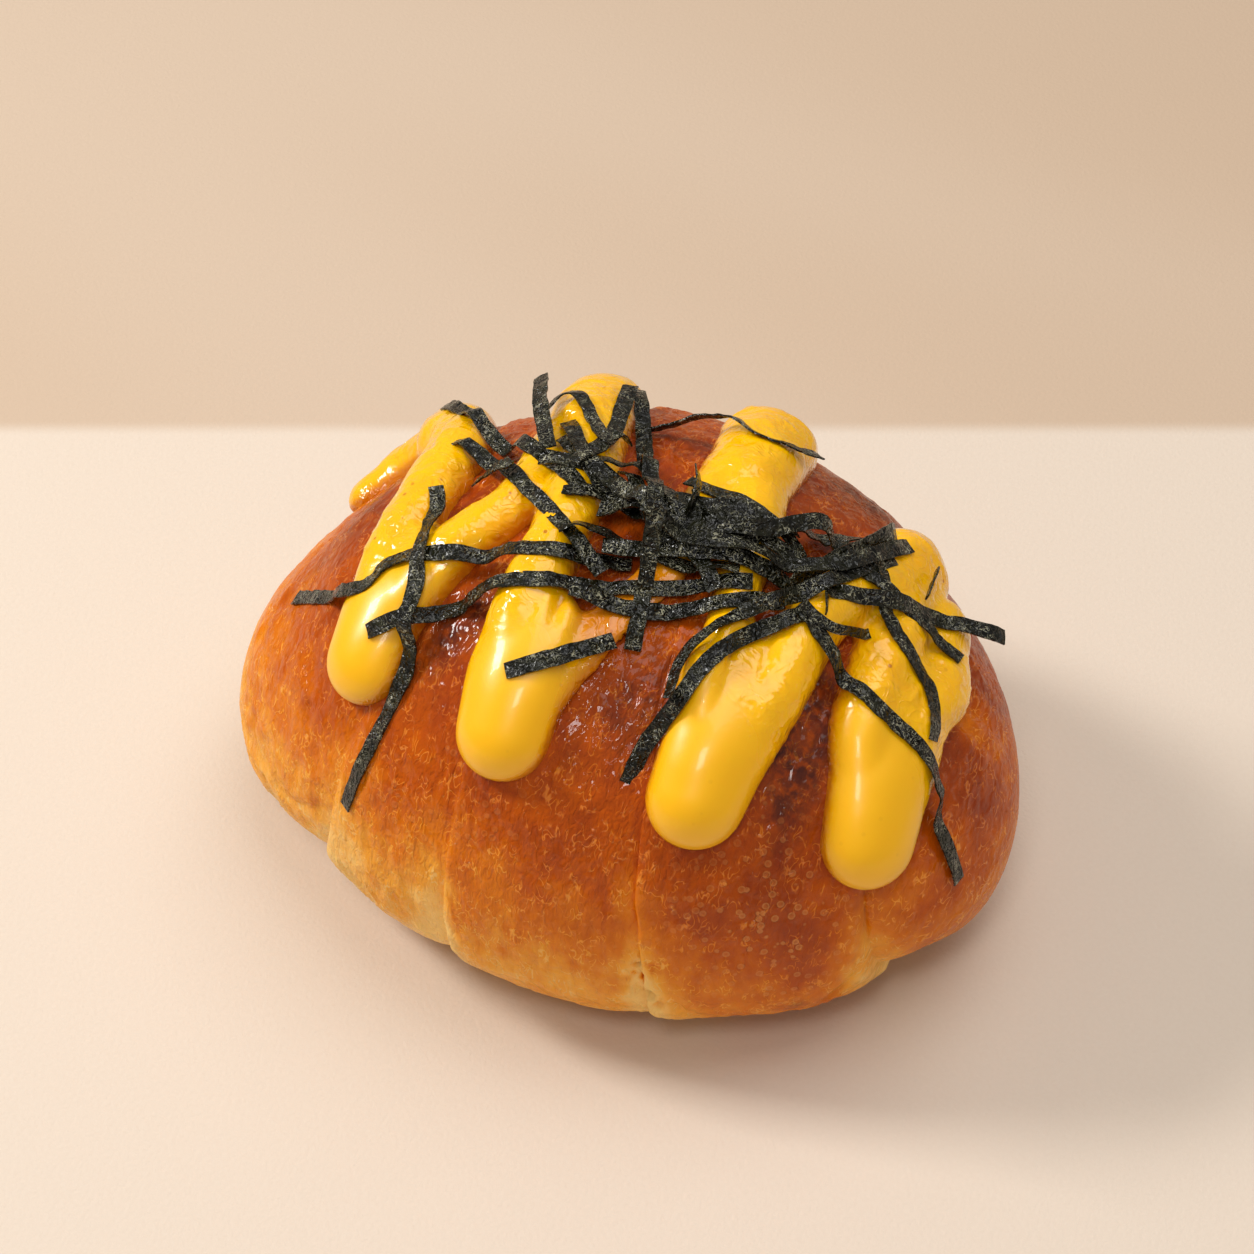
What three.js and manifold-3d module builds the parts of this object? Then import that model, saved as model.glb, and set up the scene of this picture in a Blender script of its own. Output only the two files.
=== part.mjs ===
// Salt bread roll: a plump rolled bun with a zigzag of cream piped across it and shredded nori on top.
// Millimetres, +Z up, +X along the roll, -Y to its front; the origin is under its middle, on the table.
import * as THREE from 'three';
import { mergeVertices } from 'three/addons/utils/BufferGeometryUtils.js';
import Module from 'manifold-3d';

// ---- driving dimensions ----------------------------------------------------------------------
const HALF_LENGTH = 61.5;        // the roll is 123 long
const HALF_WIDTH = 47.5;         // and 95 wide
const ROLL_HEIGHT = 68;          // top of the bare bread
const AXIS_HEIGHT = 24;          // height of the widest line, at mid length
const BELLY = 36;                // radius below the axis, cut off flat by the table
const SECTION_POWER = 2.1;       // 2 is an ellipse, more is squarer
const TAPER = { left: 1.8, right: 1.9 };          // bluntness of the two ends
const DROOP = { left: 9, right: 4 };            // how far each end's axis sinks
const END_FORWARD = { left: -1.5, right: 0 };     // how far each end's axis moves in Y

// Edges of the rolled layers: where each crosses the front, top and back, and which side lies on top.
const SEAMS = [
  { front: -30, top: -21, back: -30, over: 1 },
  { front: -6.5, top: -9, back: -13, over: 1 },
  { front: 23.5, top: 13, back: 10, over: 1 },
  { front: 50.5, top: 41, back: 36, over: -1 },
];
const LIP = 1.0;                 // how proud the upper layer's edge stands
const LIP_EDGE = 0.6;            // how far the lip takes to round up to its full height
const LIP_REACH = 14;            // and how far beyond it the layer stays raised
const GROOVE = 1.7;              // how deep the lower layer sinks beside it
const GROOVE_REACH = 3.5;
const SEAM_FADE = 10;            // the relief dies away over this last stretch before either end

// Broad uneven places: x, angle round the axis in degrees, reach along x, reach round, height.
const SWELL_FADE = 2.5;          // they die away where the section is under 1 / SWELL_FADE of the widest
const SWELLS = [
  { x: -49, turn: 80, along: 12, round: 45, rise: -2.6 },
  { x: -56, turn: 150, along: 8, round: 50, rise: 1.8 },
  { x: -33, turn: 205, along: 12, round: 28, rise: -2.4 },
  { x: -5, turn: 200, along: 14, round: 22, rise: -1.2 },
  { x: 54, turn: 210, along: 9, round: 30, rise: -3.4 },
  { x: 33, turn: 216, along: 12, round: 22, rise: -1.6 },
  { x: -38, turn: 118, along: 6, round: 30, rise: 0.8 },
  { x: 8, turn: 100, along: 12, round: 50, rise: 0.6 },
  { x: 42, turn: 70, along: 10, round: 40, rise: -1.2 },
];

// The piped cream turns at loops, long cushions from their tips on, and runs between them. Each stop is
// x, y, half width and height of its section; the first and last loops are the bead's own ends.
const CREAM_LOOPS = [
  [[-50.5, 13, 3.6, 3.2], [-49, 16, 4, 3.6]],
  [[-39, 21.5, 6.4, 5.6], [-37, 17, 6.2, 5.4]],
  [[-26.7, -28.8, 6.8, 5.6], [-26.6, -22, 7.5, 5.2], [-26.2, -16, 7.6, 4]],
  [[-15.6, 24, 6.8, 5.8], [-13.8, 15, 6.4, 5.4]],
  [[-1.8, -35, 7.2, 5.9], [-2.5, -29, 7.5, 5.5], [-3.4, -22, 6.8, 4.2]],
  [[10, 26.5, 7.6, 6.2], [12.5, 14, 6.6, 5.4]],
  [[25.8, -31.4, 7.3, 5.9], [26.2, -24, 8, 5.5], [26.8, -17, 8.4, 4.2]],
  [[35.6, 18.5, 7.2, 6], [36, 9, 6, 5]],
  [[47.3, -20.6, 7.3, 5.7], [46.2, -15, 8, 5.4], [45, -9, 8.6, 4.8], [44, -2, 8.4, 4.8]],
  [[43, 13, 5, 5], [44, 10, 5.4, 5]],
];
const CREAM_RUNS = [
  [[-45.5, 19, 4.6, 4.4]],
  [[-31.6, 9, 5.2, 5.2], [-30, -5, 4.9, 5], [-29.2, -16, 4.9, 5]],
  [[-22.6, -18, 4.8, 4.6], [-18.8, -11, 4.3, 4.4], [-15.3, -5, 3.9, 4.2], [-14.6, 3, 4.2, 4.2]],
  [[-8.2, 4, 4.8, 5], [-6.4, -9, 4.5, 5], [-5.6, -20, 4.8, 5]],
  [[1.6, -28, 4.6, 3.4], [5, -21, 4, 2], [8.5, -13, 3.6, 1.6], [10, -2, 3.8, 2.8]],
  [[17.4, 2, 4.6, 4.6], [19.8, -7, 3.4, 4], [22, -18, 4.6, 4.8]],
  [[29.6, -17, 5, 5.2], [29.8, -8, 4.8, 5.2], [30.6, 0, 4.6, 5], [32.8, 9, 5.2, 5.2]],
  [[39, 5, 5.4, 5.4], [40.8, -6, 5, 5.2]],
  [[47.4, -11, 4.9, 5], [46.2, -4, 4.8, 5.2], [46.8, 4, 5.2, 5.4]],
];
const RUN_END = 0.75;            // a run enters its loops this much slimmer than they are
const CREAM_SEAT = 0.6;          // the bead's middle above the crust
const CREAM_PROUD = 6;           // how far the bead stands above the crust
const CREAM_STEP = 6;
const CREAM_SIDES = 9;
const LOOP_SIDES = 12;
const CAP_RINGS = { run: 2, loop: 4 };            // rings of faces in a domed end

// Nori: cut shreds. Those that lie apart from the pile are named by their route: x, y, z and how far
// they stand clear of what they lie on. The z only says which way out of the roll the place is.
const SHRED_WIDTH = 2.4;
const SHRED_THICKNESS = 0.6;
const SHRED_BEND = 14;           // tightest radius in which a shred bends down over what it lies on
const SHRED_BITE = 0.3;          // crossing shreds press into each other by this much
const SHRED_STEP = 5.2;          // length of its flat pieces
const SHRED_DRAPE = 4;           // places at which each such length is laid
const SHRED_TILT = 0.7;          // steepest sideways lean, rise over run
const FIRST_SHREDS = [
  [[-49, -15, 42, 0], [-33, -24, 60, 0], [-29, -20, 64, 0], [-15, -16, 67, 0],
    [-3, -14, 71, 0], [6, -10, 70, 0]],
  [[-27, -30, 59, 0], [-13, -21, 63, 0], [-1, -18, 70, 0], [12, -12, 70, 0], [24, -6, 72, 0]],
  [[-26, -5, 66, 0.5], [-23, -18, 65, 0.5], [-21, -31, 60, 0.5], [-22, -38, 45, 0.5],
    [-25, -42, 34, 0.5]],
  [[-32, 6, 66, 0], [-23, 3, 64, 0], [-11, -6, 70, 0], [3, -14, 69, 0]],
  [[-41, 21, 54, 0], [-29, 11, 64, 0], [-17, 4, 69, 0], [-4, -4, 73, 0]],
  [[0, -17, 66, 0], [12, -16, 69, 0], [29, -5, 69, 0]],
  [[-7, 18, 67, 0], [5, 14, 76, 0], [11, 22, 70, 0], [20, 23, 64, 1]],
];
const LAST_SHREDS = [
  [[17, -35, 53, 0], [19, -31, 60, 0], [23, -18, 67, 0], [33, -5, 69, 0]],
  [[19, -27, 64, 0], [19, -19, 67, 0], [25, -9, 69, 0]],
  [[30, -6, 69, 0], [42, -10, 60, 0], [51, -10, 51, 0.4], [57, -12, 42, 0.6], [59.5, -12, 29, 0.6]],
  [[36, 10, 64, 0], [42, 2, 62, 0], [47, -1, 55, 0], [52, -8, 52, 0]],
  [[36, 7, 68, 0], [44, 7, 59, 0], [51, 7, 54, 0]],
  [[33, -1, 70, 0], [40, 6, 62, 0], [46, 11, 56, 0], [51, 15, 50, 4]],
  [[23, -12, 69, 0], [30, -4, 70, 0], [37, 14, 63, 0]],
  [[5, -7, 72, 0], [20, -4, 76, 0], [32, 3, 71, 0], [37, 18, 61, 1]],
  [[-11, 26, 66, 1], [-6, 18, 68, 0], [2, 3, 73, 0], [8, -9, 72, 0], [11, -21, 64, 0]],
  [[-23, 19, 66, 5], [-19, 10, 69, 2], [-13, 2, 71, 0]],
  [[-12, 25, 66, 2], [-8, 10, 72, 1], [-9, -1, 74, 0]],
];
const FRONT_SHRED = [[-3, -33, 65, 0], [3, -28, 66, 0], [9, -22, 67, 0]];

// The pile's other shreds follow a rule along its long middle line.
const PILE = { x: 12, y: 1, turn: 10, length: 50, width: 18, rise: 3.4 };
const PILE_SHREDS = 9;
const PILE_SHRED_LENGTH = { least: 26, most: 44 };
const PILE_FAN = 70;             // spread of the shreds' directions in degrees
const PILE_SPREAD = { along: 0.7, aside: 0.8 };   // share of the pile over which their middles lie
const PILE_BOW = 7;              // spread of how far their middles bow aside
const PILE_SKIN = { under: 0.2, over: 0.4 };      // the core's two faces above what it lies on
const PILE_RIM = 0.999;          // share of the core's half length at which its last ring stands
const PILE_RINGS = 3;
const PILE_SPOKES = 16;

const GAP = 0.3;                 // clearance between pieces that touch
const SHRED_CLEAR = 0.5;         // and between the nori and what it lies on
const BREAD_SPANS = [9, 10, 12, 11, 7];          // columns of faces in each layer
const BREAD_SPOKES = 38;

// ---- the bread's skin --------------------------------------------------------------------------
const radians = THREE.MathUtils.degToRad;
const sideOf = (x) => (x < 0 ? 'left' : 'right');

function axisAt(x) {
  const t = x / HALF_LENGTH;
  return { y: END_FORWARD[sideOf(x)] * t * t, z: AXIS_HEIGHT - DROOP[sideOf(x)] * t * t };
}

function swellAt(x, turn) {
  let rise = 0;
  for (const s of SWELLS) {
    const away = THREE.MathUtils.euclideanModulo(turn - radians(s.turn) + Math.PI, 2 * Math.PI) - Math.PI;
    rise += s.rise * Math.exp(-(((x - s.x) / s.along) ** 2) - (away / radians(s.round)) ** 2);
  }
  return rise;
}

// Radius of the plain roll: a superellipse section that shrinks towards both ends.
function plainRadius(x, turn) {
  const t = Math.min(Math.abs(x) / HALF_LENGTH, 1);
  const shrink = Math.sqrt(1 - t ** TAPER[sideOf(x)]);
  const tall = Math.sin(turn) > 0 ? ROLL_HEIGHT - AXIS_HEIGHT : BELLY;
  const across = (Math.abs(Math.cos(turn)) / HALF_WIDTH) ** SECTION_POWER;
  const upright = (Math.abs(Math.sin(turn)) / tall) ** SECTION_POWER;
  const section = (across + upright) ** (-1 / SECTION_POWER);
  return shrink * section + swellAt(x, turn) * Math.min(SWELL_FADE * shrink, 1);
}

function seamX(seam, turn) {
  const middle = (seam.front + seam.back) / 2;
  return middle + ((seam.back - seam.front) / 2) * Math.cos(turn) + (seam.top - middle) * Math.sin(turn);
}

// Relief of the rolled layers: beyond each seam the upper layer's lip, before it the sunken lower layer.
function layerRelief(x, turn) {
  let rise = 0;
  for (const seam of SEAMS) {
    const beyond = (x - seamX(seam, turn)) * seam.over;
    if (beyond > 0.01) rise += LIP * (1 - Math.exp(-beyond / LIP_EDGE)) * Math.exp(-beyond / LIP_REACH);
    else rise -= GROOVE * Math.exp(beyond / GROOVE_REACH);
  }
  return rise * THREE.MathUtils.clamp((HALF_LENGTH - Math.abs(x)) / SEAM_FADE, 0, 1);
}

function breadPoint(x, turn, grow) {
  const axis = axisAt(x);
  const radius = Math.max(plainRadius(x, turn) + layerRelief(x, turn) + grow, 0.2);
  const y = axis.y + radius * Math.cos(turn);
  return [x, y, Math.max(axis.z + radius * Math.sin(turn), -grow)];
}

// Columns of x positions that follow the seams, bunched towards the two ends.
function breadColumns(turn) {
  const edges = [-HALF_LENGTH, ...SEAMS.map((seam) => seamX(seam, turn)), HALF_LENGTH];
  const columns = [];
  BREAD_SPANS.forEach((count, span) => {
    for (let i = span ? 0 : 1; i < count; i += 1) {
      const even = i / count;
      let share = even;
      if (span === 0) share = 1 - Math.cos((even * Math.PI) / 2);
      if (span === BREAD_SPANS.length - 1) share = Math.sin((even * Math.PI) / 2);
      columns.push(edges[span] + (edges[span + 1] - edges[span]) * share);
    }
  });
  return columns;
}

// Closed grid of faces from rings of points, each ring closed, with a point at either end.
function skinOf(rings, first, last) {
  const around = rings[0].length;
  const points = [first, ...rings.flat(), last];
  const faces = [];
  const at = (ring, k) => 1 + ring * around + (k % around);
  for (let k = 0; k < around; k += 1) {
    faces.push(0, at(0, k + 1), at(0, k));
    for (let ring = 0; ring + 1 < rings.length; ring += 1) {
      faces.push(at(ring, k), at(ring, k + 1), at(ring + 1, k + 1));
      faces.push(at(ring, k), at(ring + 1, k + 1), at(ring + 1, k));
    }
    faces.push(points.length - 1, at(rings.length - 1, k), at(rings.length - 1, k + 1));
  }
  return { points, faces };
}

function breadSkin(grow) {
  const spokes = Array.from({ length: BREAD_SPOKES }, (_, k) => {
    const turn = (2 * Math.PI * k) / BREAD_SPOKES;
    return breadColumns(turn).map((x) => breadPoint(x, turn, grow));
  });
  const rings = spokes[0].map((_, c) => spokes.map((spoke) => spoke[c]));
  const tip = (x) => [x + Math.sign(x) * grow, axisAt(x).y, axisAt(x).z];
  return skinOf(rings, tip(-HALF_LENGTH), tip(HALF_LENGTH));
}

// ---- booleans ----------------------------------------------------------------------------------
const wasm = await Module();
wasm.setup();

function solidOf({ points, faces }) {
  const solid = new wasm.Manifold(new wasm.Mesh({
    numProp: 3,
    vertProperties: new Float32Array(points.flat()),
    triVerts: new Uint32Array(faces),
  }));
  return solid.volume() < 0 ? solidOf({ points, faces: faces.toReversed() }) : solid;
}

const joinAll = (solids) => solids.reduce((whole, next) => whole.add(next));
const larger = (one, other) => (other.volume() > one.volume() ? other : one);
const largestOf = (solid) => solid.decompose().reduce(larger);

function meshOf(name, solid, material) {
  const { vertProperties, triVerts } = solid.getMesh();
  const geometry = new THREE.BufferGeometry();
  geometry.setAttribute('position', new THREE.BufferAttribute(vertProperties, 3));
  geometry.setIndex(new THREE.BufferAttribute(triVerts, 1));
  const mesh = new THREE.Mesh(mergeVertices(geometry), material);
  mesh.geometry.computeVertexNormals();
  mesh.name = name;
  return mesh;
}

// ---- the cream ---------------------------------------------------------------------------------
// Height of the plain roll over a point of the table, by halving.
function crustHeight(x, y) {
  const halvings = 26;
  let low = 5;
  let high = ROLL_HEIGHT + 12;
  for (let i = 0; i < halvings; i += 1) {
    const z = (low + high) / 2;
    const axis = axisAt(x);
    const inside = Math.hypot(z - axis.z, y - axis.y) < plainRadius(x, Math.atan2(z - axis.z, y - axis.y));
    if (inside) low = z;
    else high = z;
  }
  return low;
}

function crustNormal(x, y) {
  const e = 0.4;
  const slopeX = (crustHeight(x + e, y) - crustHeight(x - e, y)) / (2 * e);
  const slopeY = (crustHeight(x, y + e) - crustHeight(x, y - e)) / (2 * e);
  return new THREE.Vector3(-slopeX, -slopeY, 1).normalize();
}

// Smooth run through hand-set stops of any number of values: each span is a cubic set by its neighbours.
function smoothRun(stops, step) {
  const before = stops[0].map((value, i) => 2 * value - stops[1][i]);
  const after = stops.at(-1).map((value, i) => 2 * value - stops.at(-2)[i]);
  const all = [before, ...stops, after];
  const run = [];
  for (let span = 1; span + 2 < all.length; span += 1) {
    const [a, b, c, d] = all.slice(span - 1, span + 3);
    const count = Math.max(Math.round(Math.hypot(c[0] - b[0], c[1] - b[1]) / step), 1);
    for (let i = 0; i < count; i += 1) {
      const t = i / count;
      run.push(b.map((_, v) => b[v] + 0.5 * t * (c[v] - a[v]
        + t * (2 * a[v] - 5 * b[v] + 4 * c[v] - d[v] + t * (3 * b[v] - a[v] - 3 * c[v] + d[v])))));
    }
  }
  return [...run, stops.at(-1)];
}

// A stretch of cream: an oval section carried over the crust, with domed ends.
function creamStretch(stops, grow, step, sides, capRings) {
  const run = smoothRun(stops, step).map(([x, y, wide, tall]) => {
    const up = crustNormal(x, y);
    const centre = new THREE.Vector3(x, y, crustHeight(x, y)).addScaledVector(up, CREAM_SEAT);
    return { centre, up, wide: wide + grow, tall: tall + grow };
  });
  const last = run.length - 1;
  run.forEach((stop, i) => {
    const before = run[Math.max(i - 1, 0)].centre;
    const along = run[Math.min(i + 1, last)].centre.clone().sub(before);
    stop.side = along.cross(stop.up).normalize();
    stop.along = stop.up.clone().cross(stop.side);
  });
  const stations = run.map((stop) => ({ ...stop, shift: 0, shrink: 1 }));
  for (let i = 1; i < capRings; i += 1) {
    const bend = (i / capRings) * (Math.PI / 2);
    stations.unshift({ ...run[0], shift: -Math.sin(bend) * run[0].wide, shrink: Math.cos(bend) });
    stations.push({ ...run[last], shift: Math.sin(bend) * run[last].wide, shrink: Math.cos(bend) });
  }
  const rings = stations.map((stop) => Array.from({ length: sides }, (_, k) => {
    const turn = (2 * Math.PI * k) / sides;
    return stop.centre.clone()
      .addScaledVector(stop.along, stop.shift)
      .addScaledVector(stop.side, stop.wide * stop.shrink * Math.cos(turn))
      .addScaledVector(stop.up, stop.tall * stop.shrink * Math.sin(turn))
      .toArray();
  }));
  const tip = (stop, way) => stop.centre.clone().addScaledVector(stop.along, way * stop.wide).toArray();
  return skinOf(rings, tip(run[0], -1), tip(run[last], 1));
}

function creamStretches(grow, step, sides, loopSides) {
  const slim = ([x, y, wide, tall]) => [x, y, wide * RUN_END, tall * RUN_END];
  const runs = CREAM_RUNS.map((run, i) => [slim(CREAM_LOOPS[i][0]), ...run, slim(CREAM_LOOPS[i + 1][0])]);
  return [
    ...runs.map((run) => creamStretch(run, grow, step, sides, CAP_RINGS.run)),
    ...CREAM_LOOPS.map((loop) => creamStretch(loop, grow, step, loopSides, CAP_RINGS.loop)),
  ];
}

const creamBead = (grow) => joinAll(creamStretches(grow, CREAM_STEP, CREAM_SIDES, LOOP_SIDES).map(solidOf));

// ---- the map of how far out the pieces reach in each direction from the roll's middle ------------
const MAP_STEP = radians(0.6);
const MAP_LEAN = radians(87);                    // from one end's direction to the other's
const MAP_TURN = { from: radians(-36), to: radians(216) };
const FINE_STEP = 0.4;                           // spacing of the places the map is filled from
const FINE_SIDES = 80;
const SQUEEZE = HALF_WIDTH / HALF_LENGTH;        // in the map the roll is as long as wide, so nearly a ball
const MAP_COLUMNS = Math.round((MAP_TURN.to - MAP_TURN.from) / MAP_STEP) + 1;
const MAP_ROWS = Math.round((2 * MAP_LEAN) / MAP_STEP) + 1;
const reachMap = new Float32Array(MAP_COLUMNS * MAP_ROWS);

function polar([x, y, z]) {
  const reach = Math.hypot(x * SQUEEZE, y, z - AXIS_HEIGHT);
  const turn = Math.atan2(z - AXIS_HEIGHT, y);
  const row = Math.round((Math.asin((x * SQUEEZE) / reach) + MAP_LEAN) / MAP_STEP);
  const column = Math.round(((turn < -Math.PI / 2 ? turn + 2 * Math.PI : turn) - MAP_TURN.from) / MAP_STEP);
  const inside = row >= 0 && row < MAP_ROWS && column >= 0 && column < MAP_COLUMNS;
  return { reach, index: inside ? row * MAP_COLUMNS + column : -1 };
}

const reachTowards = (point) => reachMap[polar(point).index] ?? 0;

function atReach([x, y, z], reach) {
  const share = reach / polar([x, y, z]).reach;
  return new THREE.Vector3(x * share, y * share, AXIS_HEIGHT + (z - AXIS_HEIGHT) * share);
}

function raiseMap(point) {
  const { reach, index } = polar(point);
  if (index >= 0) reachMap[index] = Math.max(reachMap[index], reach);
}

function fillMap() {
  const fineTurn = MAP_STEP / 2;
  for (let x = -HALF_LENGTH; x <= HALF_LENGTH; x += FINE_STEP / 2) {
    for (let turn = MAP_TURN.from; turn < MAP_TURN.to; turn += fineTurn) {
      raiseMap(breadPoint(x, turn, SHRED_CLEAR));
    }
  }
  const fine = creamStretches(SHRED_CLEAR, FINE_STEP, FINE_SIDES, FINE_SIDES);
  for (const stretch of fine) stretch.points.forEach(raiseMap);
}

// ---- the nori ----------------------------------------------------------------------------------
const fraction = (value) => value - Math.floor(value);

// An even scatter of values from 0 to 1 for the k-th shred; each lane is another such scatter.
function spread(k, lane) {
  const [golden, root2, root3] = [0.61803399, 0.41421356, 0.7320508];
  return fraction(k * golden + lane * root2 + 0.5 * fraction(k * k * root3 * lane));
}

// Lays one shred: over each place it takes the highest of what the places near it hold up.
function layShred(route) {
  const run = smoothRun(route, SHRED_STEP / SHRED_DRAPE);
  const last = run.length - 1;
  const half = SHRED_WIDTH / 2;
  let travelled = 0;
  const stops = run.map((point, i) => {
    const here = atReach(point, reachTowards(point));
    const before = run[Math.max(i - 1, 0)];
    const next = run[Math.min(i + 1, last)];
    const along = atReach(next, reachTowards(next)).sub(atReach(before, reachTowards(before))).normalize();
    const out = here.clone().sub(new THREE.Vector3(0, 0, AXIS_HEIGHT)).normalize();
    const across = along.clone().cross(out).normalize();
    const left = reachTowards(here.clone().addScaledVector(across, -half).toArray());
    const right = reachTowards(here.clone().addScaledVector(across, half).toArray());
    if (i) travelled += atReach(before, reachTowards(before)).distanceTo(here);
    const under = Math.max(reachTowards(point), (left + right) / 2);
    return { point, out, across, left, right, under, travelled, lift: point[3] };
  });
  for (const stop of stops) {
    const held = stops.map((o) => o.under - (o.travelled - stop.travelled) ** 2 / (2 * SHRED_BEND));
    stop.centre = atReach(stop.point, Math.max(...held) + stop.lift);
  }
  const kept = stops.filter((_, i) => i % SHRED_DRAPE === 0 || i === last);
  kept.forEach((stop, i) => {
    const along = kept[Math.min(i + 1, kept.length - 1)].centre.clone().sub(kept[Math.max(i - 1, 0)].centre);
    const lean = (stop.right - stop.left) / SHRED_WIDTH;
    const tilt = THREE.MathUtils.clamp(lean, -SHRED_TILT, SHRED_TILT);
    stop.across = stop.across.clone().addScaledVector(stop.out, tilt).normalize();
    stop.up = stop.across.clone().cross(along).normalize();
    if (stop.up.dot(stop.out) < 0) stop.up.negate();
  });
  return kept;
}

// A shred is a thin ribbon: four corners at each stop, closed at both cut ends.
function shredSkin(stops) {
  const half = SHRED_WIDTH / 2;
  const corner = (stop, sideways, upward) => stop.centre.clone()
    .addScaledVector(stop.across, sideways * half)
    .addScaledVector(stop.up, upward * SHRED_THICKNESS)
    .toArray();
  const rings = stops.map((stop) => [
    corner(stop, -1, 0), corner(stop, 1, 0), corner(stop, 1, 1), corner(stop, -1, 1),
  ]);
  const middle = (stop) => corner(stop, 0, 0.5);
  return skinOf(rings, middle(stops[0]), middle(stops.at(-1)));
}

function raiseMapByShred(stops) {
  const along = Math.ceil(SHRED_STEP / FINE_STEP);
  const aside = Math.ceil(SHRED_WIDTH / FINE_STEP);
  for (let i = 0; i + 1 < stops.length; i += 1) {
    for (let a = 0; a <= along; a += 1) {
      const centre = stops[i].centre.clone().lerp(stops[i + 1].centre, a / along);
      for (let b = 0; b <= aside; b += 1) {
        const at = centre.clone().addScaledVector(stops[i].across, (b / aside - 0.5) * SHRED_WIDTH);
        raiseMap(at.addScaledVector(stops[i].up, SHRED_THICKNESS - SHRED_BITE).toArray());
      }
    }
  }
}

function pileRoute(k) {
  const turn = radians(PILE.turn + PILE_FAN * (spread(k, 1) - 0.5));
  const along = (spread(k, 2) - 0.5) * PILE.length * PILE_SPREAD.along;
  const aside = (spread(k, 3) - 0.5) * PILE.width * PILE_SPREAD.aside;
  const main = radians(PILE.turn);
  const x = PILE.x + along * Math.cos(main) - aside * Math.sin(main);
  const y = PILE.y + along * Math.sin(main) + aside * Math.cos(main);
  const half = THREE.MathUtils.lerp(PILE_SHRED_LENGTH.least, PILE_SHRED_LENGTH.most, spread(k, 4)) / 2;
  const bow = (spread(k, 5) - 0.5) * PILE_BOW;
  return [-1, 0, 1].map((end) => {
    const endX = x + end * half * Math.cos(turn) - (end ? 0 : bow) * Math.sin(turn);
    const endY = y + end * half * Math.sin(turn) + (end ? 0 : bow) * Math.cos(turn);
    return [endX, endY, crustHeight(endX, endY) + CREAM_PROUD, 0];
  });
}

// Core of the pile: a low dome on whatever lies under it, which holds the shreds together.
function pileCore() {
  const main = radians(PILE.turn);
  const place = (share, k) => {
    const turn = (2 * Math.PI * k) / PILE_SPOKES;
    const along = (share * Math.cos(turn) * PILE.length) / 2;
    const aside = (share * Math.sin(turn) * PILE.width) / 2;
    const x = PILE.x + along * Math.cos(main) - aside * Math.sin(main);
    const y = PILE.y + along * Math.sin(main) + aside * Math.cos(main);
    const point = [x, y, crustHeight(x, y) + CREAM_PROUD];
    const ground = reachTowards(point);
    const dome = PILE.rise * Math.sqrt(1 - share * share);
    return {
      under: atReach(point, ground + PILE_SKIN.under).toArray(),
      over: atReach(point, ground + PILE_SKIN.over + dome).toArray(),
    };
  };
  const shares = Array.from({ length: PILE_RINGS }, (_, i) => (PILE_RIM * (i + 1)) / PILE_RINGS);
  const circle = (share) => Array.from({ length: PILE_SPOKES }, (_, k) => place(share, k));
  const under = shares.map((share) => circle(share).map((spot) => spot.under));
  const over = shares.toReversed().map((share) => circle(share).map((spot) => spot.over));
  return skinOf([...under, ...over], place(0, 0).under, place(0, 0).over);
}

// ---- materials and pieces ------------------------------------------------------------------------
const crust = new THREE.MeshStandardMaterial({ color: 0xb5651d, roughness: 0.4, metalness: 0 });
const cream = new THREE.MeshStandardMaterial({ color: 0xf7c51e, roughness: 0.2, metalness: 0 });
const nori = new THREE.MeshStandardMaterial({ color: 0x16190f, roughness: 0.5, metalness: 0 });

fillMap();
const breadClear = solidOf(breadSkin(GAP));
const creamClear = creamBead(GAP);
const bread = solidOf(breadSkin(0));
const zigzag = largestOf(creamBead(0).subtract(breadClear));

const frontStops = layShred(FRONT_SHRED);
const frontShred = largestOf(solidOf(shredSkin(frontStops)).subtract(creamClear).subtract(breadClear));

const pileSolids = [solidOf(pileCore())];
const pileRoutes = Array.from({ length: PILE_SHREDS }, (_, k) => pileRoute(k + 1));
for (const route of [...FIRST_SHREDS, ...pileRoutes, ...LAST_SHREDS]) {
  const stops = layShred(route);
  pileSolids.push(solidOf(shredSkin(stops)));
  raiseMapByShred(stops);
}
const pile = largestOf(joinAll(pileSolids).subtract(creamClear).subtract(breadClear));

const roll = new THREE.Group();
roll.add(meshOf('bread_roll', bread, crust));
roll.add(meshOf('cream_zigzag', zigzag, cream));
roll.add(meshOf('nori_heap', pile, nori));
roll.add(meshOf('nori_strip_front', frontShred, nori));

export default roll;
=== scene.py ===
"""A salt bread roll with a zigzag of yellow cream and shredded nori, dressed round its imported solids.

Every shape is worked out in millimetres in the frame's own axes (+X along the roll, -Y to its front, +Z
up, the origin on the table under its middle) and is turned to metres when it becomes a mesh. "Turn" is the
angle round the roll's long axis: 0 at the back, 90 degrees at the top and 180 at the front.
"""

import logging
import math
from dataclasses import dataclass, field, replace
from enum import Enum

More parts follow.
